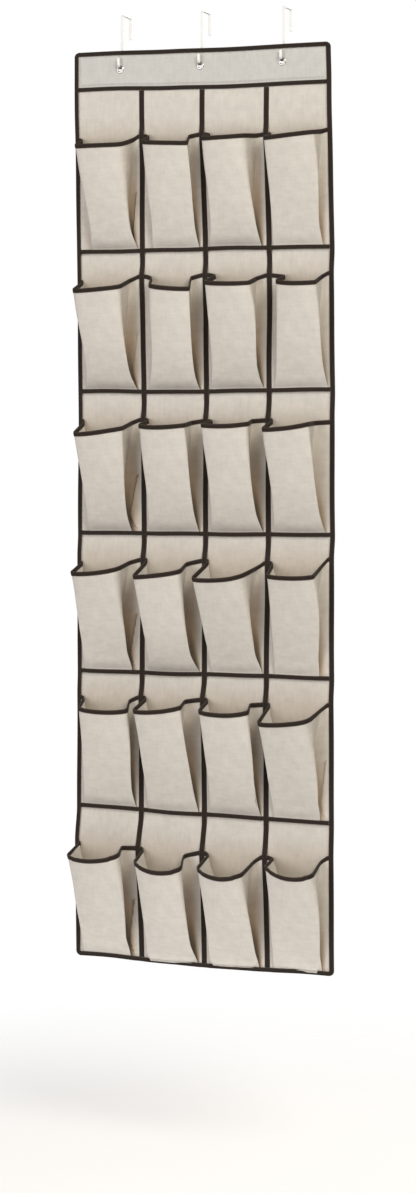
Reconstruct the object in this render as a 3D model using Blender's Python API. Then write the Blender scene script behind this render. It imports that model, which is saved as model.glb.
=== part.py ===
"""Over-the-door shoe organizer: a bound cloth panel with 24 pleated pockets, hung on three door hooks.

Metres, +Z up, and the front faces -Y. The origin is under the bridge of the centre hook, at the middle
of the door's thickness, so z = 0 is the top of the door.
"""
import math

import bmesh
import bpy
from mathutils import Matrix, Vector

MM = 0.001

# Door hooks: a flat strap bent over the door, ending in an open cradle that passes through an eyelet
DOOR_THICKNESS = 35 * MM
DOOR_PLAY = 0.5 * MM
HOOK_PITCH = 152.5 * MM
STRAP_WIDTH = 5 * MM
STRAP_THICKNESS = 1.5 * MM
STRAP_CHAMFER = 0.35 * MM
STRAP_END_ROUND = 2.2 * MM
STRAP_END_TAPER = 0.55
BRIDGE_BEND = 2.5 * MM
REAR_LEG = 38 * MM
CRADLE_RADIUS = 9 * MM
CRADLE_Z = -86.5 * MM
TIP_RISE = 10 * MM

# Cloth and tape thicknesses, the gap left between pieces that lie on each other, and a folded tape's play
CLOTH = 0.8 * MM
TAPE = 0.6 * MM
GAP = 0.3 * MM
FOLD_PLAY = 0.45 * MM

# Panel outline and the widths of its tapes
PANEL_WIDTH = 482 * MM
PANEL_HEIGHT = 1610 * MM
PANEL_TOP = -65.5 * MM
CORNER_RADIUS = 9 * MM
EDGE_BINDING_WIDTH = 8 * MM
COLUMN_TAPE_WIDTH = 9.5 * MM
ROW_TAPE_WIDTH = 7.5 * MM
MOUTH_BINDING_WIDTH = 8 * MM

# Sewn lines: rows below the panel's top edge, columns right of its middle
HEADER_LINE = 70 * MM
ROW_LINES = (357 * MM, 607.5 * MM, 858.5 * MM, 1103.5 * MM, 1345.5 * MM, PANEL_HEIGHT)
COLUMN_LINES = (-115 * MM, 3 * MM, 120 * MM)
ROWS = len(ROW_LINES)
COLUMNS = len(COLUMN_LINES) + 1

# Pockets: the seams hold the mouth at one height, and the side pleats let the front stand out and droop
POCKET_HEIGHT = 200 * MM
FRONT_BOW = 5 * MM
FRONT_SHARES = (0.25, 0.5, 0.75)
SIDE_CLEARANCE = 2.25 * MM
CORNER_ROUND = 8 * MM
PLEAT_STAND = 4 * MM
BOTTOM_PLEAT = 2.5 * MM
# How far the middle of a mouth sags below its corners, row by row
MOUTH_SAGS = (1 * MM, 2 * MM, 2 * MM, 1 * MM, 3 * MM, 11 * MM)
# Each pocket in mm: depth of the open mouth, then in left and right pairs: how far the front's corners stand
# in from the side seams, how far they droop, and how far the pleats lie on the panel before turning forward
POCKET_FORMS = (
    ((45, 13, 9, 11, 9, 6, 6), (45, 16, 5, 10, 13, 9, 15),
     (45, 11, 14, 4, 3, 10, 8), (45, 7, 9, 11, 8, 3, 6)),
    ((58, 14, 7, 19, 13, 3, 10), (48, 33, -2, 14, 19, 17, 13),
     (58, 22, 2, 9, 12, 18, 10), (48, 33, 2, 9, 12, 28, 5)),
    ((62, 16, 2, 20, 11, 5, 6), (60, 18, 4, 6, 6, 9, 11),
     (60, 16, 3, 5, 5, 12, 16), (60, 11, 12, 10, 7, 7, 18)),
    ((62, 11, 11, 18, 13, 4, 11), (64, 7, 11, 21, 14, 4, 21),
     (66, 2, 15, 25, 20, 3, 3), (60, 20, 5, 15, 21, 5, 2)),
    ((52, 22, -3, 18, 20, 6, 10), (64, 8, 11, 17, 7, 2, 21),
     (62, 13, 3, 14, 12, 2, 16), (66, 2, 13, 30, 22, 2, 3)),
    ((68, 7, 7, 10, 8, 2, 19), (66, 12, 8, 12, 20, 2, 21),
     (68, 10, 14, 16, 23, 5, 6), (64, 16, 5, 6, 17, 9, 6)),
)
# Rows of points up a pocket from its flat hem: share of the mouth's height, of its spread and of its depth
POCKET_LEVELS = ((0.12, 0.4, 0.07), (0.25, 0.88, 0.2), (0.55, 1, 0.53), (0.95, 1, 0.945), (1, 1, 1))
MOUTH_ZONE = 0.95

# Header: a stiffener board between the back panel and the header band
STIFFENER = 1.2 * MM
STIFFENER_INSET = 13 * MM
HEADER_RISE = 2.5 * MM
HIDDEN_EDGE = 3.5 * MM

# Eyelets: a flanged barrel through the header, clinched over a washer behind it
EYELET_BORE = 4 * MM
EYELET_WALL = 0.5 * MM
EYELET_FLANGE = 7.25 * MM
EYELET_DOME = 0.8 * MM
EYELET_DROP = 10.3 * MM
CURL_RADIUS = 5.7 * MM
WASHER_THICKNESS = 0.5 * MM
ROUND_STEPS = 20
CUTTER_REACH = 10 * MM

# Heights of the layers in front of the back panel's face, to the front of each layer
FLAT_LAYER = GAP + CLOTH
MOUTH_LAYER = GAP + TAPE + FOLD_PLAY + CLOTH
TAPE_REAR = FLAT_LAYER + GAP
EDGE_LEAF_REAR = MOUTH_LAYER + GAP
HEADER_LAYER = GAP + STIFFENER + GAP + CLOTH
FLANGE_REAR = HEADER_LAYER + GAP
FLANGE_FRONT = FLANGE_REAR + EYELET_DOME
WASHER_FRONT = -CLOTH - GAP
WASHER_REAR = WASHER_FRONT - WASHER_THICKNESS
CURL_FRONT = WASHER_REAR - GAP
CURL_REAR = CURL_FRONT - EYELET_WALL

# The eyelet barrels hang at the middle of the hooks' cradles
LEG_Y = DOOR_THICKNESS / 2 + DOOR_PLAY + STRAP_THICKNESS / 2
PIVOT = Vector((0, -LEG_Y - CRADLE_RADIUS, CRADLE_Z))
PANEL_FACE_Y = PIVOT.y + (FLANGE_FRONT + CURL_REAR) / 2

SIDES = {"left": -1, "centre": 0, "right": 1}

# Finishes: colour, roughness, metallic
FINISHES = {
    "canvas": ((0.66, 0.60, 0.52), 0.9, 0.0),
    "header_canvas": ((0.66, 0.63, 0.58), 0.9, 0.0),
    "tape": ((0.046, 0.034, 0.028), 0.85, 0.0),
    "board": ((0.48, 0.38, 0.27), 0.9, 0.0),
    "nickel": ((0.72, 0.71, 0.69), 0.25, 1.0),
    "white_coat": ((0.86, 0.86, 0.85), 0.3, 0.0),
}


def clear_scene():
    for old in list(bpy.data.objects):
        bpy.data.objects.remove(old)


def finish(name):
    """The Principled material of one finish."""
    material = bpy.data.materials.get(name)
    if material is None:
        colour, roughness, metallic = FINISHES[name]
        material = bpy.data.materials.new(name)
        material.use_nodes = True
        shader = material.node_tree.nodes["Principled BSDF"]
        shader.inputs["Base Color"].default_value = (*colour, 1)
        shader.inputs["Roughness"].default_value = roughness
        shader.inputs["Metallic"].default_value = metallic
    return material


def at(x, forward, z):
    """A point on or in front of the back panel's face."""
    return Vector((x, PANEL_FACE_Y - forward, z))


def add_object(name, mesh_data, finish_name, parent):
    """One named piece, hung from the empty of the body that it moves with."""
    mesh = bpy.data.meshes.new(name)
    mesh_data.to_mesh(mesh)
    mesh_data.free()
    mesh.materials.append(finish(finish_name))
    piece = bpy.data.objects.new(name, mesh)
    bpy.context.collection.objects.link(piece)
    piece.parent = parent
    piece.matrix_parent_inverse = Matrix.Translation(-parent.location)
    return piece


def shade_round(piece):
    piece.data.shade_smooth()
    piece.data.set_sharp_from_angle(angle=math.radians(35))


def add_empty(name, location):
    empty = bpy.data.objects.new(name, None)
    empty.location = location
    bpy.context.collection.objects.link(empty)
    return empty


def loft(loops, ring=False):
    """A closed skin through equal loops of points, with capped ends or joined into a ring."""
    skin = bmesh.new()
    rows = [[skin.verts.new(point) for point in loop] for loop in loops]
    pairs = list(zip(rows, rows[1:]))
    if ring:
        pairs.append((rows[-1], rows[0]))
    for near, far in pairs:
        for i in range(len(near)):
            j = (i + 1) % len(near)
            skin.faces.new((near[i], near[j], far[j], far[i]))
    if not ring:
        skin.faces.new(rows[0])
        skin.faces.new(list(reversed(rows[-1])))
    bmesh.ops.recalc_face_normals(skin, faces=skin.faces)
    return skin


def cloth_sheet(grid):
    """An open sheet through rows of points, facing away from the panel, to be thickened by Solidify."""
    sheet = bmesh.new()
    rows = [[sheet.verts.new(point) for point in row] for row in grid]
    for low, high in zip(rows, rows[1:]):
        for i in range(len(low) - 1):
            sheet.faces.new((low[i], low[i + 1], high[i + 1], high[i]))
    return sheet


def thicken(piece, thickness):
    """Give a sheet its thickness on the side of the panel."""
    solidify = piece.modifiers.new("thickness", "SOLIDIFY")
    solidify.thickness = thickness
    solidify.offset = -1


def rounded_rectangle(inset, radius, steps):
    """Points round the panel, inset from its outer edge, each with its inward direction."""
    points = []
    half = PANEL_WIDTH / 2 - CORNER_RADIUS
    low = PANEL_TOP - PANEL_HEIGHT + CORNER_RADIUS
    high = PANEL_TOP - CORNER_RADIUS
    corners = ((half, high, 0), (-half, high, 90), (-half, low, 180), (half, low, 270))
    for x, z, start in corners:
        for step in range(steps + 1):
            angle = math.radians(start + 90 * step / steps)
            outward = Vector((math.cos(angle), 0, math.sin(angle)))
            points.append((Vector((x, 0, z)) + outward * (radius - inset), -outward))
    return points


def strip(x_left, x_right, z_low, z_high, rear, front):
    """A flat bar in front of the panel."""
    corners = ((x_left, z_low), (x_right, z_low), (x_right, z_high), (x_left, z_high))
    return loft([[at(x, forward, z) for x, z in corners] for forward in (rear, front)])


def turned(profile, centre):
    """A ring turned round the Y axis through centre, from (radius, forward) points."""
    loops = []
    for step in range(ROUND_STEPS):
        angle = 2 * math.pi * step / ROUND_STEPS
        out = Vector((math.cos(angle), 0, math.sin(angle)))
        loops.append([at(centre.x, forward, centre.z) + out * radius for radius, forward in profile])
    return loft(loops, ring=True)


def hook_path():
    """The strap's centre line in the YZ plane, from the rear leg's end to the upturned tip."""
    bridge_z = STRAP_THICKNESS / 2
    turn_z = bridge_z - BRIDGE_BEND
    turn_y = LEG_Y - BRIDGE_BEND
    path = [Vector((0, LEG_Y, -REAR_LEG)), Vector((0, LEG_Y, -REAR_LEG + STRAP_END_ROUND))]
    path += arc(turn_y, turn_z, BRIDGE_BEND, 0, 90, 4)
    path += arc(-turn_y, turn_z, BRIDGE_BEND, 90, 180, 4)
    path += arc(PIVOT.y, PIVOT.z, CRADLE_RADIUS, 0, -180, 12)
    tip_y = PIVOT.y - CRADLE_RADIUS
    tip_z = PIVOT.z + TIP_RISE
    path += [Vector((0, tip_y, tip_z - STRAP_END_ROUND)), Vector((0, tip_y, tip_z))]
    return path


def arc(y, z, radius, start, end, steps):
    angles = [math.radians(start + (end - start) * step / steps) for step in range(steps + 1)]
    return [Vector((0, y + radius * math.cos(angle), z + radius * math.sin(angle))) for angle in angles]


def strap_section(width, thickness):
    """Half-size corners of the strap, chamfered."""
    w = width / 2
    t = thickness / 2
    c = STRAP_CHAMFER
    quarter = ((w, t - c), (w - c, t))
    left = [(-x, y) for x, y in reversed(quarter)]
    bottom = [(-x, -y) for x, y in quarter]
    right = [(x, -y) for x, y in reversed(quarter)]
    return [*quarter, *left, *bottom, *right]


def make_hook(side, body):
    path = hook_path()
    ends = (0, len(path) - 1)
    loops = []
    for i, point in enumerate(path):
        before = path[max(i - 1, 0)]
        after = path[min(i + 1, len(path) - 1)]
        along = (after - before).normalized()
        normal = Vector((0, -along.z, along.y))
        section = strap_section(STRAP_WIDTH * (STRAP_END_TAPER if i in ends else 1), STRAP_THICKNESS)
        centre = point + Vector((SIDES[side] * HOOK_PITCH, 0, 0))
        loops.append([centre + Vector((x, 0, 0)) + normal * t for x, t in section])
    shade_round(add_object(f"door_hook_{side}", loft(loops), "white_coat", body))


def eyelet_centre(side):
    return Vector((SIDES[side] * HOOK_PITCH, 0, CRADLE_Z - EYELET_DROP))


def make_eyelet(side, body):
    bore = EYELET_BORE
    wall = EYELET_BORE + EYELET_WALL
    brim = EYELET_FLANGE
    profile = (
        (bore, FLANGE_FRONT - 0.3 * EYELET_DOME),
        (bore + 0.2 * (brim - bore), FLANGE_FRONT),
        (bore + 0.6 * (brim - bore), FLANGE_FRONT - 0.1 * EYELET_DOME),
        (brim, FLANGE_REAR + 0.35 * EYELET_DOME),
        (brim, FLANGE_REAR),
        (wall, FLANGE_REAR),
        (wall, CURL_FRONT),
        (CURL_RADIUS, CURL_FRONT),
        (CURL_RADIUS - 0.3 * EYELET_WALL, CURL_REAR),
        (bore, CURL_REAR),
    )
    piece = add_object(f"eyelet_{side}", turned(profile, eyelet_centre(side)), "nickel", body)
    shade_round(piece)


def make_washer(side, body):
    inner = EYELET_BORE + EYELET_WALL + GAP
    profile = (
        (inner, WASHER_FRONT),
        (EYELET_FLANGE, WASHER_FRONT),
        (EYELET_FLANGE - WASHER_THICKNESS, WASHER_REAR),
        (inner, WASHER_REAR),
    )
    piece = add_object(f"eyelet_washer_{side}", turned(profile, eyelet_centre(side)), "nickel", body)
    shade_round(piece)


def pierce(piece, body):
    """Cut the three eyelet holes through a header layer."""
    radius = EYELET_BORE + EYELET_WALL + GAP
    angles = [2 * math.pi * step / ROUND_STEPS for step in range(ROUND_STEPS)]
    for side in SIDES:
        centre = eyelet_centre(side)
        rim = [(centre.x + radius * math.cos(angle), centre.z + radius * math.sin(angle)) for angle in angles]
        ends = [[at(x, forward, z) for x, z in rim] for forward in (-CUTTER_REACH, CUTTER_REACH)]
        cutter = add_object(f"cutter_{piece.name}_{side}", loft(ends), "board", body)
        cutter.hide_render = True
        cutter.display_type = "WIRE"
        cut = piece.modifiers.new(f"eyelet_hole_{side}", "BOOLEAN")
        cut.operation = "DIFFERENCE"
        cut.object = cutter


def make_back_panel(body):
    inset = TAPE + GAP
    outline = [point for point, _ in rounded_rectangle(inset, CORNER_RADIUS, 4)]
    loops = [[at(p.x, forward, p.z) for p in outline] for forward in (-CLOTH, 0)]
    pierce(add_object("back_panel", loft(loops), "canvas", body), body)


def make_edge_binding(body):
    """A folded tape round the panel: a web at the outer edge and a leaf on each face."""
    front = EDGE_LEAF_REAR + TAPE
    rear = -CLOTH - GAP
    section = (
        (0, rear - TAPE),
        (0, front),
        (EDGE_BINDING_WIDTH, front),
        (EDGE_BINDING_WIDTH, EDGE_LEAF_REAR),
        (TAPE, EDGE_LEAF_REAR),
        (TAPE, rear),
        (EDGE_BINDING_WIDTH, rear),
        (EDGE_BINDING_WIDTH, rear - TAPE),
    )
    loops = []
    for point, inward in rounded_rectangle(0, CORNER_RADIUS, 5):
        loops.append([at(0, forward, 0) + point + inward * step for step, forward in section])
    add_object("edge_binding", loft(loops, ring=True), "tape", body)


def header_lines(low, high):
    """Positions across the header band: hidden edge, foot and top of its rise, and the same mirrored."""
    foot = STIFFENER_INSET - HEADER_RISE - GAP
    top = STIFFENER_INSET - GAP
    return (low + HIDDEN_EDGE, low + foot, low + top, high - top, high - foot, high - HIDDEN_EDGE)


def make_header(body):
    half = PANEL_WIDTH / 2
    base = PANEL_TOP - HEADER_LINE
    tape_half = ROW_TAPE_WIDTH / 2
    xs = header_lines(-half, half)
    zs = header_lines(base - tape_half, PANEL_TOP)
    over_board = (2, 3)
    grid = []
    for row, z in enumerate(zs):
        points = []
        for column, x in enumerate(xs):
            raised = row in over_board and column in over_board
            points.append(at(x, HEADER_LAYER if raised else FLAT_LAYER, z))
        grid.append(points)
    band = add_object("header_band", cloth_sheet(grid), "header_canvas", body)
    thicken(band, CLOTH)
    pierce(band, body)

    x_edge = half - STIFFENER_INSET
    board = strip(-x_edge, x_edge, base - tape_half + STIFFENER_INSET, PANEL_TOP - STIFFENER_INSET,
                  GAP, GAP + STIFFENER)
    pierce(add_object("header_stiffener", board, "board", body), body)


def make_row_tapes(body):
    reach = PANEL_WIDTH / 2 - EDGE_BINDING_WIDTH - GAP
    half = ROW_TAPE_WIDTH / 2
    names = ["header_tape"] + [f"row_tape_r{row + 1}" for row in range(ROWS - 1)]
    for name, line in zip(names, (HEADER_LINE,) + ROW_LINES[:-1]):
        z = PANEL_TOP - line
        tape = strip(-reach, reach, z - half, z + half, TAPE_REAR, TAPE_REAR + TAPE)
        add_object(name, tape, "tape", body)


def column_tape_heights():
    """The tape's rear height at each z, as it steps over row tapes, pocket hems and mouth bindings."""
    on_panel = GAP
    on_row_tape = TAPE_REAR + TAPE + GAP
    on_mouth = MOUTH_LAYER + FOLD_PLAY + TAPE + GAP
    heights = [(PANEL_TOP - HEADER_LINE - ROW_TAPE_WIDTH / 2 - GAP, on_panel)]
    for row in range(ROWS):
        base = row_base(row)
        mouth = base + POCKET_HEIGHT
        heights.append((mouth + 12 * MM, on_panel))
        heights.append((mouth + 3 * MM, on_mouth))
        heights.append((mouth - MOUTH_BINDING_WIDTH - 2 * MM, on_mouth))
        heights.append((base + 0.8 * POCKET_HEIGHT, on_row_tape))
        heights.append((base + 0.6 * POCKET_HEIGHT, TAPE_REAR))
        if row < ROWS - 1:
            heights.append((base + ROW_TAPE_WIDTH, TAPE_REAR))
            heights.append((base + ROW_TAPE_WIDTH / 2 + MM, on_row_tape))
            heights.append((base - ROW_TAPE_WIDTH / 2 - MM, on_row_tape))
            heights.append((base - ROW_TAPE_WIDTH, on_panel))
        else:
            heights.append((base + EDGE_BINDING_WIDTH + GAP, TAPE_REAR))
    return heights


def make_column_tapes(body):
    half = COLUMN_TAPE_WIDTH / 2
    for side, x in zip(SIDES, COLUMN_LINES):
        loops = []
        for z, rear in column_tape_heights():
            corners = ((-half, rear), (half, rear), (half, rear + TAPE), (-half, rear + TAPE))
            loops.append([at(x + across, forward, z) for across, forward in corners])
        add_object(f"column_tape_{side}", loft(loops), "tape", body)


def row_base(row):
    return PANEL_TOP - ROW_LINES[row]


def seam(column, direction):
    """The cloth's hidden edge at a seam, and where it leaves the panel on the given side of it."""
    lines = (-PANEL_WIDTH / 2,) + COLUMN_LINES + (PANEL_WIDTH / 2,)
    at_edge = column in (0, COLUMNS)
    hidden = HIDDEN_EDGE if at_edge else GAP / 2
    covered = EDGE_BINDING_WIDTH if at_edge else COLUMN_TAPE_WIDTH / 2
    return lines[column] + direction * hidden, lines[column] + direction * (covered + SIDE_CLEARANCE)


def mouth_side(column, inward, depth, inset, droop, pleat):
    """Half of a mouth, from its side seam to its front corner: (x, forward, droop) points."""
    edge, leave = seam(column, inward)
    fold = Vector((leave + inward * pleat, MOUTH_LAYER + PLEAT_STAND, 0))
    corner = Vector((leave + inward * inset, depth, droop))
    turn = fold.lerp(corner, 1 - CORNER_ROUND / (corner - fold).length)
    front = corner + Vector((inward * CORNER_ROUND / 2, 0, 0))
    return [Vector((edge, MOUTH_LAYER, 0)), Vector((leave, MOUTH_LAYER, 0)), fold, turn, front]


def mouth_line(row, column):
    """Points along an open mouth from the left seam to the right one."""
    form = [value * MM for value in POCKET_FORMS[row][column]]
    depth = form[0]
    left = mouth_side(column, 1, depth, *form[1::2])
    right = mouth_side(column + 1, -1, depth, *form[2::2])
    sag = MOUTH_SAGS[row]
    front = []
    for share in FRONT_SHARES:
        swell = 4 * share * (1 - share)
        front.append(left[-1].lerp(right[-1], share) + swell * Vector((0, FRONT_BOW + sag / 3, sag)))
    return [*left, *front, *reversed(right)]


def hem_line(mouth):
    """Where the same points lie along the flat bottom hem, with the side pleats pressed together."""
    steps = [BOTTOM_PLEAT * step for step in range(4)]
    left = [mouth[1].x + step for step in steps]
    right = [mouth[-2].x - step for step in reversed(steps)]
    front = [left[-1] + share * (right[0] - left[-1]) for share in FRONT_SHARES]
    return [mouth[0].x, *left, *front, *right, mouth[-1].x]


def pocket_grid(row, column):
    """Rows of points on the outside of a pocket, from the hem up to the mouth."""
    mouth = mouth_line(row, column)
    hem = hem_line(mouth)
    base = row_base(row)
    last_row = row == ROWS - 1
    hem_low = HIDDEN_EDGE if last_row else -0.3 * ROW_TAPE_WIDTH
    hem_high = EDGE_BINDING_WIDTH + MM if last_row else ROW_TAPE_WIDTH / 2 + MM
    grid = [[at(x, FLAT_LAYER, base + height) for x in hem] for height in (hem_low, hem_high)]
    for rise, spread, reach in POCKET_LEVELS:
        points = []
        for i, (x, forward, droop) in enumerate(mouth):
            from_seam = min(i, len(mouth) - 1 - i)
            if from_seam < 2:
                stand = MOUTH_LAYER if rise >= MOUTH_ZONE else FLAT_LAYER
            else:
                stand = FLAT_LAYER + reach * (forward - FLAT_LAYER)
            # The pleat's fold, next to the sewn edge, opens later than the front does
            opened = spread ** 2 if from_seam == 2 else spread
            height = hem_high + rise * (POCKET_HEIGHT - droop - hem_high)
            points.append(at(hem[i] + opened * (x - hem[i]), stand, base + height))
        grid.append(points)
    return grid


def make_pocket(row, column, body):
    name = f"pocket_r{row + 1}_c{column + 1}"
    thicken(add_object(name, cloth_sheet(pocket_grid(row, column)), "canvas", body), CLOTH)


def make_mouth_binding(row, body):
    """A folded tape over the mouths of one row, running on behind the column tapes."""
    rim = []
    below = []
    for column in range(COLUMNS):
        grid = pocket_grid(row, column)
        rim += grid[-1][1:-1]
        below += grid[-2][1:-1]
    stub = Vector((SIDE_CLEARANCE - GAP, 0, 0))
    rim = [rim[0] - stub] + rim + [rim[-1] + stub]
    below = [below[0] - stub] + below + [below[-1] + stub]
    inner = -CLOTH - FOLD_PLAY
    section = (
        (FOLD_PLAY + TAPE, MOUTH_BINDING_WIDTH),
        (FOLD_PLAY + TAPE, -GAP - TAPE),
        (inner - TAPE, -GAP - TAPE),
        (inner - TAPE, MOUTH_BINDING_WIDTH),
        (inner, MOUTH_BINDING_WIDTH),
        (inner, -GAP),
        (FOLD_PLAY, -GAP),
        (FOLD_PLAY, MOUTH_BINDING_WIDTH),
    )
    line = [2 * rim[0] - rim[1], *rim, 2 * rim[-1] - rim[-2]]
    loops = []
    for before, point, after, under in zip(line, rim, line[2:], below):
        along = (after - point).normalized() + (point - before).normalized()
        mitre = 2 / along.length
        down = (under - point).normalized()
        outward = down.cross(along).normalized() * mitre
        loops.append([point + outward * out + down * drop for out, drop in section])
    add_object(f"mouth_binding_r{row + 1}", loft(loops), "tape", body)


def build():
    clear_scene()
    hooks = add_empty("door_hooks", Vector((0, 0, 0)))
    organizer = add_empty("organizer", PIVOT)
    for side in SIDES:
        make_hook(side, hooks)
        make_eyelet(side, organizer)
        make_washer(side, organizer)
    make_back_panel(organizer)
    make_header(organizer)
    make_edge_binding(organizer)
    make_row_tapes(organizer)
    make_column_tapes(organizer)
    for row in range(ROWS):
        for column in range(COLUMNS):
            make_pocket(row, column, organizer)
        make_mouth_binding(row, organizer)


build()
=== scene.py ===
# %% [markdown]
# # Dressing an over-the-door shoe organizer
# The real thing is a tall canvas panel with six rows of four pleated pockets. Brown binding tape covers
# every raw edge and every seam, and three strap hooks carry the panel by its eyelets.
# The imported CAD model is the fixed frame: it says where each seam, tape and eyelet is. This script sews
# finer cloth, tape and thread around it, and nothing of the frame is moved.

# %% Load the frame
import math
from collections import namedtuple

import bmesh
import bpy
import numpy as np
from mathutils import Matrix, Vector, noise


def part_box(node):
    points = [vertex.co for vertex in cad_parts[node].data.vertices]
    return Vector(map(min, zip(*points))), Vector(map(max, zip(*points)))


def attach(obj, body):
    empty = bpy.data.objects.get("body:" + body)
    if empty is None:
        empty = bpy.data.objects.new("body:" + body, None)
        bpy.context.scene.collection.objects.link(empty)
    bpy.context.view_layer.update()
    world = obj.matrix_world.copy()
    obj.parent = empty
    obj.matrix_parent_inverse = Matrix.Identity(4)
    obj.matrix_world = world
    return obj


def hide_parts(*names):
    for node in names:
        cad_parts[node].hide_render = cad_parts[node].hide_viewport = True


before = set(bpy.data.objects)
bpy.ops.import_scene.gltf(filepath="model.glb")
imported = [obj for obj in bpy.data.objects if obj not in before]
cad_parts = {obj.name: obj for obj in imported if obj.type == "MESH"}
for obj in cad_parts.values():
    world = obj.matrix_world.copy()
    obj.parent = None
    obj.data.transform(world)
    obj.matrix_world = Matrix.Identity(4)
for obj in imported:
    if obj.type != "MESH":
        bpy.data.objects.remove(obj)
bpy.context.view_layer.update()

# %% [markdown]
# ## The camera
# The photograph was taken from the right of the panel, at about the height of its second row, with a long
# lens held level. A level camera keeps upright lines upright, and a vertical lens shift then slides the
# picture down the panel. Tilting the camera instead would make the sides of the panel converge.

# %% Camera at the photograph's angle
scene = bpy.context.scene
camera = bpy.data.objects.new("camera", bpy.data.cameras.new("camera"))
scene.collection.objects.link(camera)
scene.camera = camera
camera.location = (1.6589, -4.3905, -0.7131)
camera.rotation_euler = (math.pi / 2 + 0.0202, 0, 0.3605)
camera.data.sensor_fit = "AUTO"
camera.data.sensor_width = 36
camera.data.lens = 80.17
camera.data.shift_y = -0.1966
print("camera stands", round(camera.location.length, 2), "m from the top of the hooks")

# %% [markdown]
# ## Reading the layout
# Every sewn line is already in the frame, so it is read from there: the boxes of the tapes give the column
# and row seams, and the box of the back panel gives the face that all other layers lie on.
# Heights in front of that face are called forward. A layer lies a small gap above the one beneath it.

# %% Seams and layers
MM = 0.001
ROWS = 6
COLUMNS = 4
SIDES = ("left", "centre", "right")
CLOTH = 0.8 * MM
TAPE = 0.6 * MM
GAP = 0.3 * MM
FOLD_PLAY = 0.45 * MM
FLAT = GAP + CLOTH
MOUTH = GAP + TAPE + FOLD_PLAY + CLOTH
TAPE_REAR = FLAT + GAP

panel_low, panel_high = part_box("back_panel")
edge_low, edge_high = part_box("edge_binding")
FACE_Y = panel_low.y


def middle(node, axis):
    """Middle of a node's box along x (0), y (1) or z (2)."""
    low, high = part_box(node)
    return (low[axis] + high[axis]) / 2


def size_of(node, axis):
    low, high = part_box(node)
    return high[axis] - low[axis]


column_lines = [edge_low.x] + [middle(f"column_tape_{side}", 0) for side in SIDES] + [edge_high.x]
row_lines = [middle(f"row_tape_r{row}", 2) for row in range(1, ROWS)] + [edge_low.z]
header_line = middle("header_tape", 2)
COLUMN_TAPE = size_of("column_tape_left", 0)
ROW_TAPE = size_of("header_tape", 2)
EDGE_TAPE = 8 * MM
POCKET_HEIGHT = 200 * MM
print("columns at", [round(x / MM, 1) for x in column_lines], "mm")
print("rows at", [round(z / MM, 1) for z in row_lines], "mm")

# %% [markdown]
# ## Points and meshes
# Cloth is easiest to shape as a grid of points held in a NumPy array, because a whole sheet can then be
# bent, wrinkled or shifted in one line. The helpers below turn such grids into meshes.
# UV coordinates are measured in metres along the cloth, so a weave has its true size on every piece.

# %% Grids to meshes
def place(x, forward, z):
    """Points in front of the back cloth's face."""
    x, forward, z = np.broadcast_arrays(x, forward, z)
    return np.stack([x, FACE_Y - forward, z], axis=-1)


def ease(value, start, end):
    """Rises smoothly from 0 at start to 1 at end."""
    share = np.clip((np.asarray(value) - start) / (end - start), 0, 1)
    return share * share * (3 - 2 * share)


def bell(value, centre, width):
    """1 at the centre, falling smoothly to 0 on both sides."""
    return np.exp(-((value - centre) / width) ** 2)


def unit(vectors):
    return vectors / np.maximum(np.linalg.norm(vectors, axis=-1, keepdims=True), 1e-12)


def run_length(points):
    """Distance along a line of points, from its start."""
    steps = np.linalg.norm(np.diff(points, axis=0), axis=-1)
    return np.concatenate([[0], np.cumsum(steps)])


def grid_corners(rows, columns, ring_rows=False, ring_columns=False):
    """Row and column numbers of the four corners of each quad in a grid."""
    row_starts = np.arange(rows - 1 + ring_rows)
    column_starts = np.arange(columns - 1 + ring_columns)
    row, column = np.meshgrid(row_starts, column_starts, indexing="ij")
    row = np.stack([row, row, row + 1, row + 1], axis=-1).reshape(-1, 4)
    column = np.stack([column, column + 1, column + 1, column], axis=-1).reshape(-1, 4)
    return row, column


def closed_ends(faces, uvs, stations, corners):
    """Faces and UVs of a swept section, with both its ends filled in."""
    first = list(range(corners))
    last = [(stations - 1) * corners + i for i in reversed(first)]
    return faces + [first, last], uvs + [[0, 0]] * (2 * corners)


def make_mesh(name, points, faces, uvs, material):
    """A smooth-shaded mesh with one UV pair for each face corner."""
    mesh = bpy.data.meshes.new(name)
    mesh.from_pydata(points.reshape(-1, 3).tolist(), [], faces)
    layer = mesh.uv_layers.new(name="cloth_metres")
    layer.data.foreach_set("uv", np.asarray(uvs, dtype=np.float32).ravel())
    mesh.shade_smooth()
    mesh.materials.append(material)
    return mesh


def mark_points(mesh, label, values):
    """Store a number for each point, for the material to read by its label."""
    mark = mesh.attributes.new(label, "FLOAT", "POINT")
    mark.data.foreach_set("value", np.asarray(values, dtype=np.float32).ravel())


def make_piece(mesh, nodes, body="organizer"):
    """Show a mesh as a piece that rides on a body and stands for CAD nodes."""
    piece = bpy.data.objects.new(mesh.name, mesh)
    scene.collection.objects.link(piece)
    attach(piece, body)
    if nodes:
        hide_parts(*nodes)
    return piece


def face_outward(mesh):
    """Turn the faces of closed shells outward."""
    shell = bmesh.new()
    shell.from_mesh(mesh)
    bmesh.ops.recalc_face_normals(shell, faces=shell.faces)
    shell.to_mesh(mesh)
    shell.free()


# %% [markdown]
# ## Nothing hand-sewn is straight
# In the photograph the seams waver by a few millimetres, because the cloth was fed through a machine by hand.
# Below its stiff header the panel drifts a little to the right and falls back, and the open pockets pull the
# upright seams to one side. One shared function shifts every soft piece in the same way, so the layers keep
# lying on each other.

# %% Sway of the hanging cloth
SWAY_ACROSS = 0.6 * MM
SWAY_UP = 0.4 * MM
SWAY_WAVE = 41 * MM
SWAY_PHASE = 0.9
RIPPLE_WAVE = 21 * MM
RIPPLE_LEAN = 31
HANG_BACK = 6 * MM
# Distances below the header seam where the cloth hangs free of the board, and where it has fallen back
FREE_BELOW = 120 * MM
BACK_BELOW = 300 * MM
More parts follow.
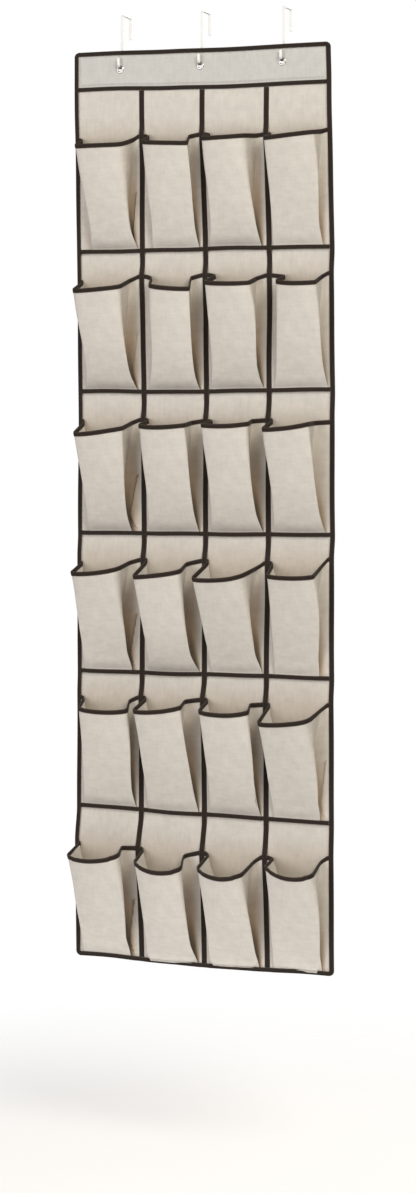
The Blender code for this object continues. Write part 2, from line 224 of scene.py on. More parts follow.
# Height of the top edge, the header seam and each row seam above its straight line, by column, in mm
SEAM_WAVERS = (
    (2.5, 0.5, -1.2, -0.3),
    (5.5, 1.9, -0.4, 0.5),
    (1.9, 2.2, 3.2, 2.0),
    (3.5, 1.8, 3.4, 5.0),
    (2.5, 3.2, 3.4, 4.9),
    (1.7, 1.3, 3.3, 3.0),
    (4.0, -0.4, -0.8, -3.0),
    (1.5, -2.5, -3.4, -1.2),
)
# Drift of the same lines to the right, in mm
SEAM_DRIFTS = (0, 0, 2.5, 5.5, 5.2, 5.0, 4.0, 3.0)
# Pull of the pockets on the five upright seams at the header seam, then at each row's mouth and hem, in mm
SEAM_PULLS = (
    (0, 0, 0, 0, 0),
    (0, 3.2, 0, 3.2, 1.3),
    (0, 3, -1, 1.5, 1.3), (0, 0.6, 2.3, 4, 2.2),
    (0, -1, 1.2, 4, 0), (0, 0.8, 1.3, 0.8, 0),
    (0, -0.5, -0.5, -1.4, -1.5), (0, 1.8, 0, -0.2, 0),
    (-2, -0.5, -2.3, -2.3, -2.5), (0, -1.7, -1.9, -3.7, -1.4),
    (-1.3, -3.9, -5.5, -5.6, -3.2), (0, -2, -0.8, -3.2, -1),
    (-4.5, -8.5, -5.8, -6.2, -2.5), (0, 0, 0, 0, 0),
)
seam_heights = [edge_high.z, header_line, *row_lines]
pull_heights = [edge_high.z, header_line]
for base in row_lines:
    pull_heights += [base + POCKET_HEIGHT, base]
column_middles = [(a + b) / 2 for a, b in zip(column_lines, column_lines[1:])]


def by_height(z, values, heights):
    """A smooth value between those given for heights from top to bottom."""
    values = np.asarray(values, dtype=float)
    number = np.interp(-z, -np.array(heights), np.arange(len(values)))
    below = np.minimum(number.astype(int), len(values) - 2)
    return values[below] + (values[below + 1] - values[below]) * ease(number - below, 0, 1)


def by_column(x, lines, values):
    """A smooth value between the arrays given for lines across the panel."""
    values = np.stack(values, axis=-1)
    number = np.interp(x, lines, np.arange(len(lines)))
    left = np.minimum(number.astype(int), len(lines) - 2)
    here = np.take_along_axis(values, left[..., None], axis=-1)[..., 0]
    beside = np.take_along_axis(values, left[..., None] + 1, axis=-1)[..., 0]
    return here + (beside - here) * ease(number - left, 0, 1)


def seam_pull(line_number, z):
    """How far an upright seam is pulled to the right at some heights, in mm."""
    return by_height(z, np.transpose(SEAM_PULLS)[line_number], pull_heights)


def sway(points):
    x = points[..., 0]
    z = points[..., 2]
    hanging = ease(header_line - z, 0, FREE_BELOW)
    wavers = [by_height(z, column, seam_heights) for column in np.transpose(SEAM_WAVERS)]
    waver = by_column(x, column_middles, wavers)
    pull = by_column(x, column_lines, [seam_pull(number, z) for number in range(COLUMNS + 1)])
    drift = by_height(z, SEAM_DRIFTS, seam_heights) + pull
    moved = points.copy()
    moved[..., 0] += MM * drift + hanging * SWAY_ACROSS * np.sin(z / SWAY_WAVE + SWAY_PHASE)
    moved[..., 1] += HANG_BACK * ease(header_line - z, 0, BACK_BELOW)
    moved[..., 2] += MM * waver + hanging * SWAY_UP * np.sin(x / RIPPLE_WAVE + RIPPLE_LEAN * z)
    return moved


# %% [markdown]
# ## Effects that several materials share
# Weave, ribs, rubbed edges and settled lint show up on more than one finish, so each is a node group with
# its own inputs, built once. A group puts out plain masks and heights; the Principled shader stays in the
# material, where colour and roughness are decided.

# %% Small helpers for shader nodes
def connect(tree, socket, value):
    """Link another node's output to a socket, or set the socket to a number."""
    if isinstance(value, bpy.types.NodeSocket):
        tree.links.new(value, socket)
    else:
        socket.default_value = value


def calculate(tree, operation, *values):
    """A Math node; returns its result."""
    node = tree.nodes.new("ShaderNodeMath")
    node.operation = operation
    for socket, value in zip(node.inputs, values):
        connect(tree, socket, value)
    return node.outputs[0]


def cloudy(tree, vector, scale, detail=2.0):
    """A noise texture's value, from 0 to 1."""
    node = tree.nodes.new("ShaderNodeTexNoise")
    tree.links.new(vector, node.inputs["Vector"])
    connect(tree, node.inputs["Scale"], scale)
    node.inputs["Detail"].default_value = detail
    return node.outputs["Fac"]


def on_object(tree):
    """Metres from the object's origin."""
    return tree.nodes.new("ShaderNodeTexCoord").outputs["Object"]


def clamped(tree, value):
    """A value held between 0 and 1."""
    node = tree.nodes.new("ShaderNodeClamp")
    tree.links.new(value, node.inputs["Value"])
    return node.outputs["Result"]


def stretched(tree, x, y):
    """A vector with its own scale along each direction of the cloth."""
    node = tree.nodes.new("ShaderNodeCombineXYZ")
    tree.links.new(x, node.inputs["X"])
    tree.links.new(y, node.inputs["Y"])
    return node.outputs["Vector"]


def cloth_directions(tree):
    """Metres across and along the cloth, from its UVs."""
    coordinates = tree.nodes.new("ShaderNodeTexCoord")
    parts = tree.nodes.new("ShaderNodeSeparateXYZ")
    tree.links.new(coordinates.outputs["UV"], parts.inputs["Vector"])
    return parts.outputs["X"], parts.outputs["Y"]


def yarn_noise(tree, across, along, per_metre, detail=2.0):
    """Noise drawn out along a yarn, with its own fineness across and along the cloth."""
    scaled = [calculate(tree, "MULTIPLY", way, scale) for way, scale in zip((across, along), per_metre)]
    return cloudy(tree, stretched(tree, *scaled), 1.0, detail)


def effect_group(name, inputs, outputs):
    """An empty node group with named number sockets; returns it with its given and its result sockets."""
    group = bpy.data.node_groups.new(name, "ShaderNodeTree")
    for label, value in inputs.items():
        socket = group.interface.new_socket(name=label, in_out="INPUT", socket_type="NodeSocketFloat")
        socket.default_value = value
    for label in outputs:
        group.interface.new_socket(name=label, in_out="OUTPUT", socket_type="NodeSocketFloat")
    start = group.nodes.new("NodeGroupInput")
    end = group.nodes.new("NodeGroupOutput")
    return group, start.outputs, end.inputs


# %% [markdown]
# ### Plain weave
# Canvas is a plain weave: each thread goes over one and under the next. A checkerboard of rounded threads
# gives the bumps, with warp on top in one square and weft in the other. Uneven yarn makes the thin streaks
# that run up and across real canvas, and a large soft cloud stands for uneven dye.

# %% Weave group
# Fineness of the streaks across and along the cloth, and of the clouds, per metre
WARP_YARN = (190.0, 45.0)
WEFT_YARN = (60.0, 300.0)
DYE_CLOUDS = 55.0


def rounded_thread(tree, position):
    """Height of a round thread from 0 at its edges to 1 in its middle."""
    across = calculate(tree, "FRACT", position)
    centred = calculate(tree, "MULTIPLY_ADD", across, 2.0, -1.0)
    squared = calculate(tree, "MULTIPLY", centred, centred)
    return calculate(tree, "SUBTRACT", 1.0, squared)


def build_weave():
    group, given, result = effect_group(
        "plain_weave", {"Thread": 0.7 * MM, "Streaks": 0.05, "Clouds": 0.03}, ("Tone", "Height"))
    across, along = cloth_directions(group)
    warp_at = calculate(group, "DIVIDE", across, given["Thread"])
    weft_at = calculate(group, "DIVIDE", along, given["Thread"])
    squares = calculate(group, "ADD", calculate(group, "FLOOR", warp_at), calculate(group, "FLOOR", weft_at))
    half_squares = calculate(group, "MULTIPLY", squares, 0.5)
    on_top = calculate(group, "MULTIPLY", calculate(group, "FRACT", half_squares), 2.0)
    warp = rounded_thread(group, warp_at)
    weft = rounded_thread(group, weft_at)
    step = calculate(group, "MULTIPLY", calculate(group, "SUBTRACT", warp, weft), on_top)
    woven = calculate(group, "ADD", weft, step)

    warp_yarn = yarn_noise(group, across, along, WARP_YARN, 4.0)
    weft_yarn = yarn_noise(group, across, along, WEFT_YARN)
    streaks = calculate(group, "SUBTRACT", calculate(group, "MULTIPLY_ADD", weft_yarn, 0.6, warp_yarn), 0.8)
    dye = cloudy(group, stretched(group, across, along), DYE_CLOUDS, 4.0)
    clouds = calculate(group, "SUBTRACT", dye, 0.5)
    tone = calculate(group, "MULTIPLY_ADD", streaks, given["Streaks"], 1.0)
    tone = calculate(group, "MULTIPLY_ADD", clouds, given["Clouds"], tone)
    group.links.new(tone, result["Tone"])
    group.links.new(calculate(group, "MULTIPLY_ADD", streaks, 0.8, woven), result["Height"])
    return group


weave = build_weave()
print("weave group has", len(weave.nodes), "nodes")

# %% [markdown]
# ### Ribs, rubbing and lint
# Binding tape is woven with ribs across its width, and sewing thread has the same ridges where its plies
# twist. Rubbing lightens raised edges, which the meshes mark with an attribute called edge; the same mark
# also paints a highlight on the pocket folds and painted shade at the bottom of each hook's cradle. Lint
# settles on whatever faces up, so its mask comes from the surface normal.

# %% Rib, rub and lint groups
TAPE_WEFT = (90.0, 900.0)


def build_ribs():
    group, given, result = effect_group("tape_ribs", {"Rib": 0.9 * MM, "Unevenness": 0.2}, ("Tone", "Height"))
    across, along = cloth_directions(group)
    ridge = rounded_thread(group, calculate(group, "DIVIDE", across, given["Rib"]))
    uneven = calculate(group, "SUBTRACT", yarn_noise(group, across, along, TAPE_WEFT), 0.5)
    tone = calculate(group, "MULTIPLY_ADD", uneven, given["Unevenness"], 1.0)
    tone = calculate(group, "MULTIPLY_ADD", calculate(group, "SUBTRACT", ridge, 0.6), 0.25, tone)
    group.links.new(tone, result["Tone"])
    group.links.new(calculate(group, "MULTIPLY_ADD", uneven, 0.6, ridge), result["Height"])
    return group


def build_rub_and_painted_light():
    group, given, result = effect_group("edge_rub_and_painted_light", {"Edge": 0.0, "Amount": 0.5, "Patch": 90.0}, ("Mask",))
    patches = cloudy(group, on_object(group), given["Patch"], 4.0)
    broken = calculate(group, "MULTIPLY_ADD", patches, 2.4, -0.7)
    mask = calculate(group, "MULTIPLY", calculate(group, "MULTIPLY", given["Edge"], broken), given["Amount"])
    group.links.new(clamped(group, mask), result["Mask"])
    return group


def build_lint():
    group, given, result = effect_group("settled_lint", {"Amount": 0.1, "Speck": 260.0}, ("Mask",))
    facing = group.nodes.new("ShaderNodeNewGeometry").outputs["Normal"]
    parts = group.nodes.new("ShaderNodeSeparateXYZ")
    group.links.new(facing, parts.inputs["Vector"])
    upward = calculate(group, "MAXIMUM", parts.outputs["Z"], 0.0)
    grains = cloudy(group, on_object(group), given["Speck"], 3.0)
    specks = calculate(group, "MAXIMUM", calculate(group, "MULTIPLY_ADD", grains, 3.0, -1.0), 0.0)
    mask = calculate(group, "MULTIPLY", calculate(group, "MULTIPLY", upward, specks), given["Amount"])
    group.links.new(clamped(group, mask), result["Mask"])
    return group


ribs = build_ribs()
rub_and_painted_light = build_rub_and_painted_light()
lint = build_lint()
print("effect groups:", [group.name for group in bpy.data.node_groups])

# %% [markdown]
# ## The finishes
# Each material starts from the colour measured on the real object and lets the shared groups vary it.
# Cloth has a high roughness and some sheen, because fibres stand up from it. Nickel is a smooth metal with
# hairline scratches, and the strap hooks are steel under a thick white coat.

# %% Placing groups in a material
def new_material(name, roughness, **constants):
    """A node material; returns it with its Principled shader, whose plain numbers are set here."""
    material = bpy.data.materials.new(name)
    material.use_nodes = True
    shader = material.node_tree.nodes["Principled BSDF"]
    shader.inputs["Roughness"].default_value = roughness
    for label, value in constants.items():
        shader.inputs[label.replace("_", " ").title().replace("Ior", "IOR")].default_value = value
    return material, shader


def use_group(tree, group, **values):
    """Place an effect group in a material with its own values; returns its outputs."""
    node = tree.nodes.new("ShaderNodeGroup")
    node.node_tree = group
    for label, value in values.items():
        connect(tree, node.inputs[label], value)
    return node.outputs


def tint(tree, colour, tone):
    """A colour made lighter or darker by a tone around 1."""
    node = tree.nodes.new("ShaderNodeMix")
    node.data_type = "RGBA"
    node.blend_type = "MULTIPLY"
    node.inputs["Factor"].default_value = 1
    connect(tree, node.inputs["A"], colour if isinstance(colour, bpy.types.NodeSocket) else (*colour, 1))
    tree.links.new(tone, node.inputs["B"])
    return node.outputs["Result"]


def blend_colours(tree, mask, colour, other):
    node = tree.nodes.new("ShaderNodeMix")
    node.data_type = "RGBA"
    tree.links.new(mask, node.inputs["Factor"])
    for label, value in (("A", colour), ("B", other)):
        connect(tree, node.inputs[label], value if isinstance(value, bpy.types.NodeSocket) else (*value, 1))
    return node.outputs["Result"]


def bump(tree, shader, height, strength, depth):
    node = tree.nodes.new("ShaderNodeBump")
    node.inputs["Strength"].default_value = strength
    node.inputs["Distance"].default_value = depth
    tree.links.new(height, node.inputs["Height"])
    tree.links.new(node.outputs["Normal"], shader.inputs["Normal"])


def marked(tree, attribute):
    """The value of a mesh attribute."""
    node = tree.nodes.new("ShaderNodeAttribute")
    node.attribute_name = attribute
    return node.outputs["Fac"]


# %% Canvas and header cloth
LINT_COLOUR = (0.62, 0.58, 0.53)
# Lighter canvas on the pocket folds, partly rubbed wear and partly a painted highlight
RUBBED_CANVAS_AND_HIGHLIGHT = (0.80, 0.76, 0.70)
# Canvas colour where it lies open, then painted shade where it is half folded away and where it is deep in a
# fold
ECRU_AND_PAINTED_SHADE = ((0.668, 0.632, 0.584), (0.45, 0.345, 0.245), (0.12, 0.09, 0.066))
PALE_ECRU_AND_PAINTED_SHADE = ((0.605, 0.592, 0.570), (0.53, 0.49, 0.43), (0.46, 0.41, 0.35))


def with_painted_shade(tree, colours):
    """Colour of the cloth with painted shade, from where it lies open to where it is folded away, by its
    shade mark.
    """
    node = tree.nodes.new("ShaderNodeValToRGB")
    stops = node.color_ramp.elements
    stops.new(0.5)
    for stop, colour in zip(stops, colours):
        stop.color = (*colour, 1)
    tree.links.new(marked(tree, "painted_shade"), node.inputs["Fac"])
    return node.outputs["Color"]


def make_canvas(name, colours, thread, streaks, clouds):
    material, shader = new_material(
        name, 0.92, specular_ior_level=0.25, sheen_weight=0.12, sheen_roughness=0.6)
    tree = material.node_tree
    woven = use_group(tree, weave, Thread=thread, Streaks=streaks, Clouds=clouds)
    fluff = use_group(tree, lint, Amount=0.12, Speck=340.0)
    # The canvas colour is darkened by painted shade wherever the mesh carries the shade mark
    toned = tint(tree, with_painted_shade(tree, colours), woven["Tone"])
    # On the pocket folds this rubbed colour is partly wear and partly a painted highlight
    rubbed = use_group(tree, rub_and_painted_light, Edge=marked(tree, "edge"), Amount=0.8, Patch=60.0)
    worn = blend_colours(tree, rubbed["Mask"], toned, RUBBED_CANVAS_AND_HIGHLIGHT)
    connect(tree, shader.inputs["Base Color"], blend_colours(tree, fluff["Mask"], worn, LINT_COLOUR))
    bump(tree, shader, woven["Height"], 0.4, 0.25 * MM)
    return material


canvas = make_canvas("ecru_canvas", ECRU_AND_PAINTED_SHADE, 0.7 * MM, 0.19, 0.22)
header_canvas = make_canvas("header_canvas", PALE_ECRU_AND_PAINTED_SHADE, 0.6 * MM, 0.20, 0.18)
print("cloths:", canvas.name, "and", header_canvas.name)

# %% Binding tape and sewing thread
TAPE_BROWN = (0.025, 0.017, 0.013)
RUBBED_TAPE = (0.10, 0.077, 0.062)
LINT_ON_TAPE = (0.24, 0.21, 0.18)
THREAD_BROWN = (0.060, 0.043, 0.034)


def make_tape():
    material, shader = new_material(
        "brown_tape", 0.8, specular_ior_level=0.2, sheen_weight=0.05, sheen_roughness=0.4)
    tree = material.node_tree
    ribbed = use_group(tree, ribs, Rib=0.9 * MM, Unevenness=0.5)
    rubbed = use_group(tree, rub_and_painted_light, Edge=marked(tree, "edge"), Amount=0.45, Patch=120.0)
    fluff = use_group(tree, lint, Amount=0.16, Speck=420.0)
    toned = tint(tree, TAPE_BROWN, ribbed["Tone"])
    worn = blend_colours(tree, rubbed["Mask"], toned, RUBBED_TAPE)
    connect(tree, shader.inputs["Base Color"], blend_colours(tree, fluff["Mask"], worn, LINT_ON_TAPE))
    bump(tree, shader, ribbed["Height"], 0.5, 0.25 * MM)
    return material


def make_thread():
    material, shader = new_material("sewing_thread", 0.6, specular_ior_level=0.4, sheen_weight=0.2)
    tree = material.node_tree
    plies = use_group(tree, ribs, Rib=0.35 * MM, Unevenness=0.6)
    connect(tree, shader.inputs["Base Color"], tint(tree, THREAD_BROWN, plies["Tone"]))
    bump(tree, shader, plies["Height"], 0.5, 0.08 * MM)
    return material


brown_tape = make_tape()
brown_thread = make_thread()
print("tape and thread:", brown_tape.name, "and", brown_thread.name)

# %% Metal, coating and board
NICKEL = (0.52, 0.51, 0.49)
RUBBED_NICKEL = (0.46, 0.41, 0.33)
PAINTED_BORE_SHADE = (0.035, 0.03, 0.027)
WHITE = (0.84, 0.84, 0.83)
# Dark steel where the coat is worn, also used as painted shade in the cradles
WORN_STEEL_AND_PAINTED_SHADE = (0.11, 0.105, 0.10)
DARK_FIBRE = (0.36, 0.27, 0.18)
PALE_FIBRE = (0.56, 0.46, 0.34)


def make_nickel():
    material, shader = new_material("bright_nickel", 0.2, metallic=1.0)
    tree = material.node_tree
    scratches = cloudy(tree, on_object(tree), 2600.0, 6.0)
    rubbed = use_group(tree, rub_and_painted_light, Edge=marked(tree, "edge"), Amount=0.8, Patch=400.0)
    worn = blend_colours(tree, rubbed["Mask"], NICKEL, RUBBED_NICKEL)
    # Painted shade: the points in the bore are coloured near black
    connect(tree, shader.inputs["Base Color"], blend_colours(tree, marked(tree, "painted_shade"), worn, PAINTED_BORE_SHADE))
    scratched = calculate(tree, "MULTIPLY_ADD", scratches, 0.22, 0.10)
    roughness = calculate(tree, "MULTIPLY_ADD", rubbed["Mask"], 0.2, scratched)
    tree.links.new(roughness, shader.inputs["Roughness"])
    bump(tree, shader, scratches, 0.06, 0.05 * MM)
    return material


def make_white_coat():
    material, shader = new_material("white_coat", 0.34, coat_weight=0.25, coat_roughness=0.12)
    tree = material.node_tree
    orange_peel = cloudy(tree, on_object(tree), 900.0, 1.0)
    rubbed = use_group(tree, rub_and_painted_light, Edge=marked(tree, "edge"), Amount=0.3, Patch=220.0)
    fluff = use_group(tree, lint, Amount=0.15, Speck=500.0)
    # The worn colour is dark steel; at the bottom of the cradle it also stands for painted shade
    worn = blend_colours(tree, rubbed["Mask"], WHITE, WORN_STEEL_AND_PAINTED_SHADE)
    connect(tree, shader.inputs["Base Color"], blend_colours(tree, fluff["Mask"], worn, LINT_COLOUR))
    tree.links.new(calculate(tree, "MULTIPLY_ADD", orange_peel, 0.14, 0.26), shader.inputs["Roughness"])
    bump(tree, shader, orange_peel, 0.15, 0.08 * MM)
    return material


def make_board():
    material, shader = new_material("fibreboard", 0.95, specular_ior_level=0.2)
    tree = material.node_tree
    fibres = cloudy(tree, on_object(tree), 700.0, 5.0)
    connect(tree, shader.inputs["Base Color"], blend_colours(tree, fibres, DARK_FIBRE, PALE_FIBRE))
    bump(tree, shader, fibres, 0.4, 0.2 * MM)
    return material


nickel = make_nickel()
white_coat = make_white_coat()
fibreboard = make_board()
print("hard finishes:", nickel.name, "and", white_coat.name, "and", fibreboard.name)

# %% [markdown]
# ## Back cloth
# The panel that everything is sewn to hangs almost flat, but not like a plate: between the seams it waves
# by a millimetre, and under each row tape the stitching gathers it into fine vertical puckers. A grid moved
# forward and back by soft noise gives both. A Solidify modifier then adds the thickness of the canvas.

# %% Sheets of cloth
def soft_noise(x, z, seed):
    """Soft random height around 0 for arrays of positions."""
    flat_x = np.ravel(x).tolist()
    flat_z = np.ravel(z).tolist()
    values = [noise.noise((a, b, seed)) for a, b in zip(flat_x, flat_z)]
    return np.reshape(values, np.shape(x))


def thicken(piece):
    """Give an open sheet the thickness of canvas, on the side away from its face."""
    solidify = piece.modifiers.new("canvas_thickness", "SOLIDIFY")
    solidify.thickness = CLOTH
    solidify.offset = -1


def make_sheet(name, grid, uv, marks, material, nodes):
    """A cloth sheet from a grid of points; marks are named numbers for each point."""
    rows, columns = grid.shape[:2]
    row, column = grid_corners(rows, columns)
    mesh = make_mesh(name, sway(grid), (row * columns + column).tolist(), uv[row, column], material)
    for label, values in marks.items():
        mark_points(mesh, label, values)
    piece = make_piece(mesh, nodes)
    thicken(piece)
    return piece


def apply_modifiers(piece):
    depsgraph = bpy.context.evaluated_depsgraph_get()
    final = bpy.data.meshes.new_from_object(piece.evaluated_get(depsgraph))
    final.name = piece.data.name
    piece.modifiers.clear()
    piece.data = final


# %% Back cloth
PANEL_CORNER = 8.1 * MM
SLACK_WAVE = 1.6 * MM
PUCKER = 0.9 * MM
PUCKER_REACH = 26 * MM
# Painted shade on the cloth inside a pocket, from a little above the mouth
INSIDE_SHADE = 0.22
SHADE_ABOVE = 42 * MM
SHADE_FADE = 60 * MM


def away_from(values, lines, near, far):
    """0 close to any of the lines and 1 away from all of them."""
    distance = np.min([np.abs(values - line) for line in lines], axis=0)
    return ease(distance, near, far)


def round_corners(x, z, radius):
    """Pull the corners of a rectangular grid back onto a round corner."""
    centre_x = np.clip(x, panel_low.x + radius, panel_high.x - radius)
    centre_z = np.clip(z, panel_low.z + radius, panel_high.z - radius)
    away = np.hypot(x - centre_x, z - centre_z)
    pull = np.where(away > radius, radius / np.maximum(away, 1e-9), 1)
    return centre_x + (x - centre_x) * pull, centre_z + (z - centre_z) * pull


def back_cloth_grid():
    across = np.linspace(panel_low.x, panel_high.x, 121)
    up = np.linspace(panel_low.z, panel_high.z, 321)
    x, z = np.meshgrid(across, up)
    sewn_rows = [header_line] + row_lines
    between_columns = away_from(x, column_lines, 8 * MM, 34 * MM)
    free = between_columns * away_from(z, sewn_rows + [panel_high.z], 5 * MM, 30 * MM) * (z < header_line)
    waves = SLACK_WAVE * soft_noise(x / 0.05, z / 0.11, 3.0) * free
    under_tape = np.zeros_like(z)
    for line in sewn_rows[:-1]:
        drop = line - z
        under_tape = np.maximum(under_tape, (drop > 4 * MM) * np.exp(-drop / PUCKER_REACH))
    puckers = PUCKER * soft_noise(x / 0.011, z / 0.09, 8.0) * under_tape
    puckers *= away_from(x, column_lines, 6 * MM, 14 * MM)
    uv = np.stack([x, z], axis=-1)
    # Painted shade inside each pocket, fading out above its mouth
    painted_shade = np.zeros_like(z)
    for line in row_lines:
        shaded = ease(line + POCKET_HEIGHT + SHADE_ABOVE - z, 0, SHADE_FADE)
        painted_shade = np.maximum(painted_shade, shaded * (z > line))
    x, z = round_corners(x, z, PANEL_CORNER)
    return place(x, waves + puckers, z), uv, INSIDE_SHADE * painted_shade


def clear_behind(piece, mark):
    """Take a mark off the faces that look away from the front."""
    mesh = piece.data
    values = np.empty(len(mesh.vertices), dtype=np.float32)
    mesh.attributes[mark].data.foreach_get("value", values)
    behind = np.array([vertex.normal.y > 0.5 for vertex in mesh.vertices])
    mesh.attributes[mark].data.foreach_set("value", np.where(behind, 0, values).astype(np.float32))


# %% Eyelet holes
HOLE = 4.8 * MM
PUNCH_LENGTH = 30 * MM
ROUND_STEPS = 64


def punch_eyelet_holes(piece):
    """Cut the three round holes that the eyelets go through, then keep the result."""
    cutters = []
    for side in SIDES:
        centre = place(middle(f"eyelet_{side}", 0), 0, middle(f"eyelet_{side}", 2))
        tool = bmesh.new()
        bmesh.ops.create_cone(
            tool, cap_ends=True, segments=ROUND_STEPS, radius1=HOLE, radius2=HOLE, depth=PUNCH_LENGTH)
        lying = Vector((0, 1, 0)).to_track_quat("Z", "X").to_matrix()
        bmesh.ops.rotate(tool, verts=tool.verts, matrix=lying)
        bmesh.ops.translate(tool, verts=tool.verts, vec=centre)
        mesh = bpy.data.meshes.new("eyelet_punch")
        tool.to_mesh(mesh)
        tool.free()
        cutter = bpy.data.objects.new("eyelet_punch", mesh)
        scene.collection.objects.link(cutter)
        cutters.append(cutter)
        cut = piece.modifiers.new("eyelet_hole", "BOOLEAN")
        cut.object = cutter
    apply_modifiers(piece)
    for cutter in cutters:
        bpy.data.objects.remove(cutter)


grid, uv, painted_shade = back_cloth_grid()
back_cloth = make_sheet("back_cloth", grid, uv, {"painted_shade": painted_shade}, canvas, ["back_panel"])
punch_eyelet_holes(back_cloth)
clear_behind(back_cloth, "painted_shade")
print("back cloth has", len(back_cloth.data.polygons), "faces")

# %% [markdown]
# ## Header band
# The header is a second strip of paler cloth over a stiff board, so it is raised in the middle and falls to
# the panel at its sewn rim. The clamped eyelets press the cloth down around them.

# %% Header cloth
BOARD = 1.2 * MM
HEADER_TOP = GAP + BOARD + GAP + CLOTH
HEADER_RIM = 3.5 * MM
HEADER_SLACK = 0.5 * MM
# Radius of the ring that each eyelet presses flat, and depth and width of the fine creases drawn round it
PRESSED_RING = 9 * MM
DRAWN_CREASE = 0.35 * MM
DRAWN_WIDTH = 7 * MM
board_low, board_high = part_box("header_stiffener")
band_low, band_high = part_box("header_band")


def header_grid():
    across = np.linspace(band_low.x, band_high.x, 191)
    up = np.linspace(band_low.z, band_high.z, 41)
    x, z = np.meshgrid(across, up)
    over_x = (ease(x, board_low.x - HEADER_RIM, board_low.x)
              * ease(-x, -board_high.x - HEADER_RIM, -board_high.x))
    over_z = (ease(z, board_low.z - HEADER_RIM, board_low.z)
              * ease(-z, -board_high.z - HEADER_RIM, -board_high.z))
    forward = FLAT + (HEADER_TOP - FLAT) * over_x * over_z
    drawn = np.zeros_like(x)
    clear = np.ones_like(x)
    for side in SIDES:
        away = np.hypot(x - middle(f"eyelet_{side}", 0), z - middle(f"eyelet_{side}", 2))
        clear *= ease(away, PRESSED_RING, 20 * MM)
        drawn += bell(away, PRESSED_RING, DRAWN_WIDTH)
    slack = over_x * over_z * clear
    forward += slack * HEADER_SLACK * (1 + 1.2 * soft_noise(x / 0.07, z / 0.03, 5.0))
    forward += slack * drawn * DRAWN_CREASE * soft_noise(x / 0.006, z / 0.006, 2.0)
    return place(x, forward, z), np.stack([x, z], axis=-1)


grid, uv = header_grid()
header_cloth = make_sheet("header_cloth", grid, uv, {}, header_canvas, ["header_band"])
punch_eyelet_holes(header_cloth)
print("header cloth has", len(header_cloth.data.polygons), "faces")

# %% [markdown]
# ## Pleated pockets
# A row of pockets is one long strip, wider than the panel. The spare width is folded into a knife pleat on
# each side of every pocket. In the bottom hem the pleat is pressed flat behind the front, in three layers,
# and at the mouth it opens, so the front can stand out from the panel. No two pleats in the photograph fall
# alike, so each pocket has its own figures. In the last row some fronts also roll down over the binding.
# The strip is built as a cross-section that changes with height: sewn edge, flange lying on the panel, inner
# fold, gusset, front. Cloth doesn't stretch, so flange and gusset together keep one length from mouth to
# hem, and that decides how far in the inner fold lies. Each bend is rounded with a quadratic curve.

# %% Shape of each pocket
FRONT_BOW = 5 * MM
SIDE_CLEARANCE = 2.25 * MM
PLEAT_STAND = 4 * MM
PRESSED = FLAT + GAP
HEM_EASE = 0.03
FRONT_FLOOR = PRESSED + CLOTH + GAP + CLOTH
HEM_BULGE = 1.2 * MM
HEM_BULGE_AT = (0.07, 0.055)
HIDDEN_EDGE = 3.5 * MM
# In the last row the fronts roll forward and down over the binding, at the left and right of each, in mm
HEM_ROLLS = ((0, 0), (6, 4), (5, 4.2), (1, 6.8))
# Height and width of the band that rolls, as shares of the pocket's height, and how far it rolls forward
ROLL_OUT_AT = (0.022, 0.022)
ROLL_DOWN_AT = (0.032, 0.02)
ROLL_FORWARD = 0.6
LEFT_ROLL = 6
LEFT_TURN = 4
STAND_HEIGHTS = (0, 0.25, 0.6, 1)
# Sideways shift in the picture for each unit that a fold stands nearer to the camera
SIDE_LOOK = 0.377
MOUTH_SAGS = ((1, 1, 1, 1), (2, 2, 2, 2), (2, 2, 2, 2), (2, 1, 4, 2.5), (3, 3, 5, 3), (9, 10, 9.5, 10))
# How far the mouth of each row is sewn above its straight line at the five column seams, in mm
MOUTH_RAISES = (
    (0, 4.4, 5.7, 2.2, 5.7),
    (0, 7.5, 7.5, 4.4, 6.6),
    (1, 3.5, 1, 1, -3),
    (-7, 0, 0, -2.6, 6.2),
    (-4, 0, 0, -4.4, 0),
    (0, -1, 0, 0, 6.6),
)
# Each pocket in mm: depth of the open mouth, then in left and right pairs: how far the front's folds stand in
# from the side seams, how far they droop, and how far the pleats lie on the panel before turning forward
POCKET_FORMS = (
    ((47, 6, 10, 15, 13, 5, 7), (47, 11.5, 6, 10, 13, 8, 16),
     (47, 5.5, 15, 6, 3, 9, 9), (47, 3.5, 10, 9, 2, 2, 7)),
    ((64, 6, 12, 19, 13, -1, 15), (54, 25, 3, 12, 19, 12, 18),
     (64, 14, 7, 9, 12, 13, 15), (54, 25, 7, 9, 12, 23, 10)),
    ((68, 7, 8, 22.5, 12, 0.7, 12), (66, 6.7, 10, 7, 6, 3, 17),
     (66, 5.6, 9, 6, 5, 6, 22), (66, 1, 18, 15.5, 6, 0.5, 24)),
    ((68, 2, 16, 23, 13, -2.5, 16), (70, -1.5, 16, 27, 15, -2, 26),
     (72, -9, 20, 28.5, 21, -2.5, 8), (66, 10, 10, 22, 21, 2, 7)),
    ((58, 14, 2, 19, 18.5, 4, 14), (70, -1, 15, 17.5, 7, 2, 25),
     (68, 2.6, 8, 14.5, 12, 2.5, 20), (72, -5, 17, 30, 22, -2, 8)),
    ((74, 0, 11, 13, 5, -2.5, 23), (72, 3, 12, 14, 19, 3, 25),
     (74, 3, 18, 16, 22, 5.5, 10), (70, 9, 9, 5, 16, 8.5, 10)),
)
# Where the left-hand folds end in the hem, in mm from the seam
LEFT_HEMS = ((20, 14, 5, 5), (8, 5, 5, 5), (12, 5, 5, 5), (5, 5, 5, 5), (5, 5, 5, 5), (5, 5, 5, 5))
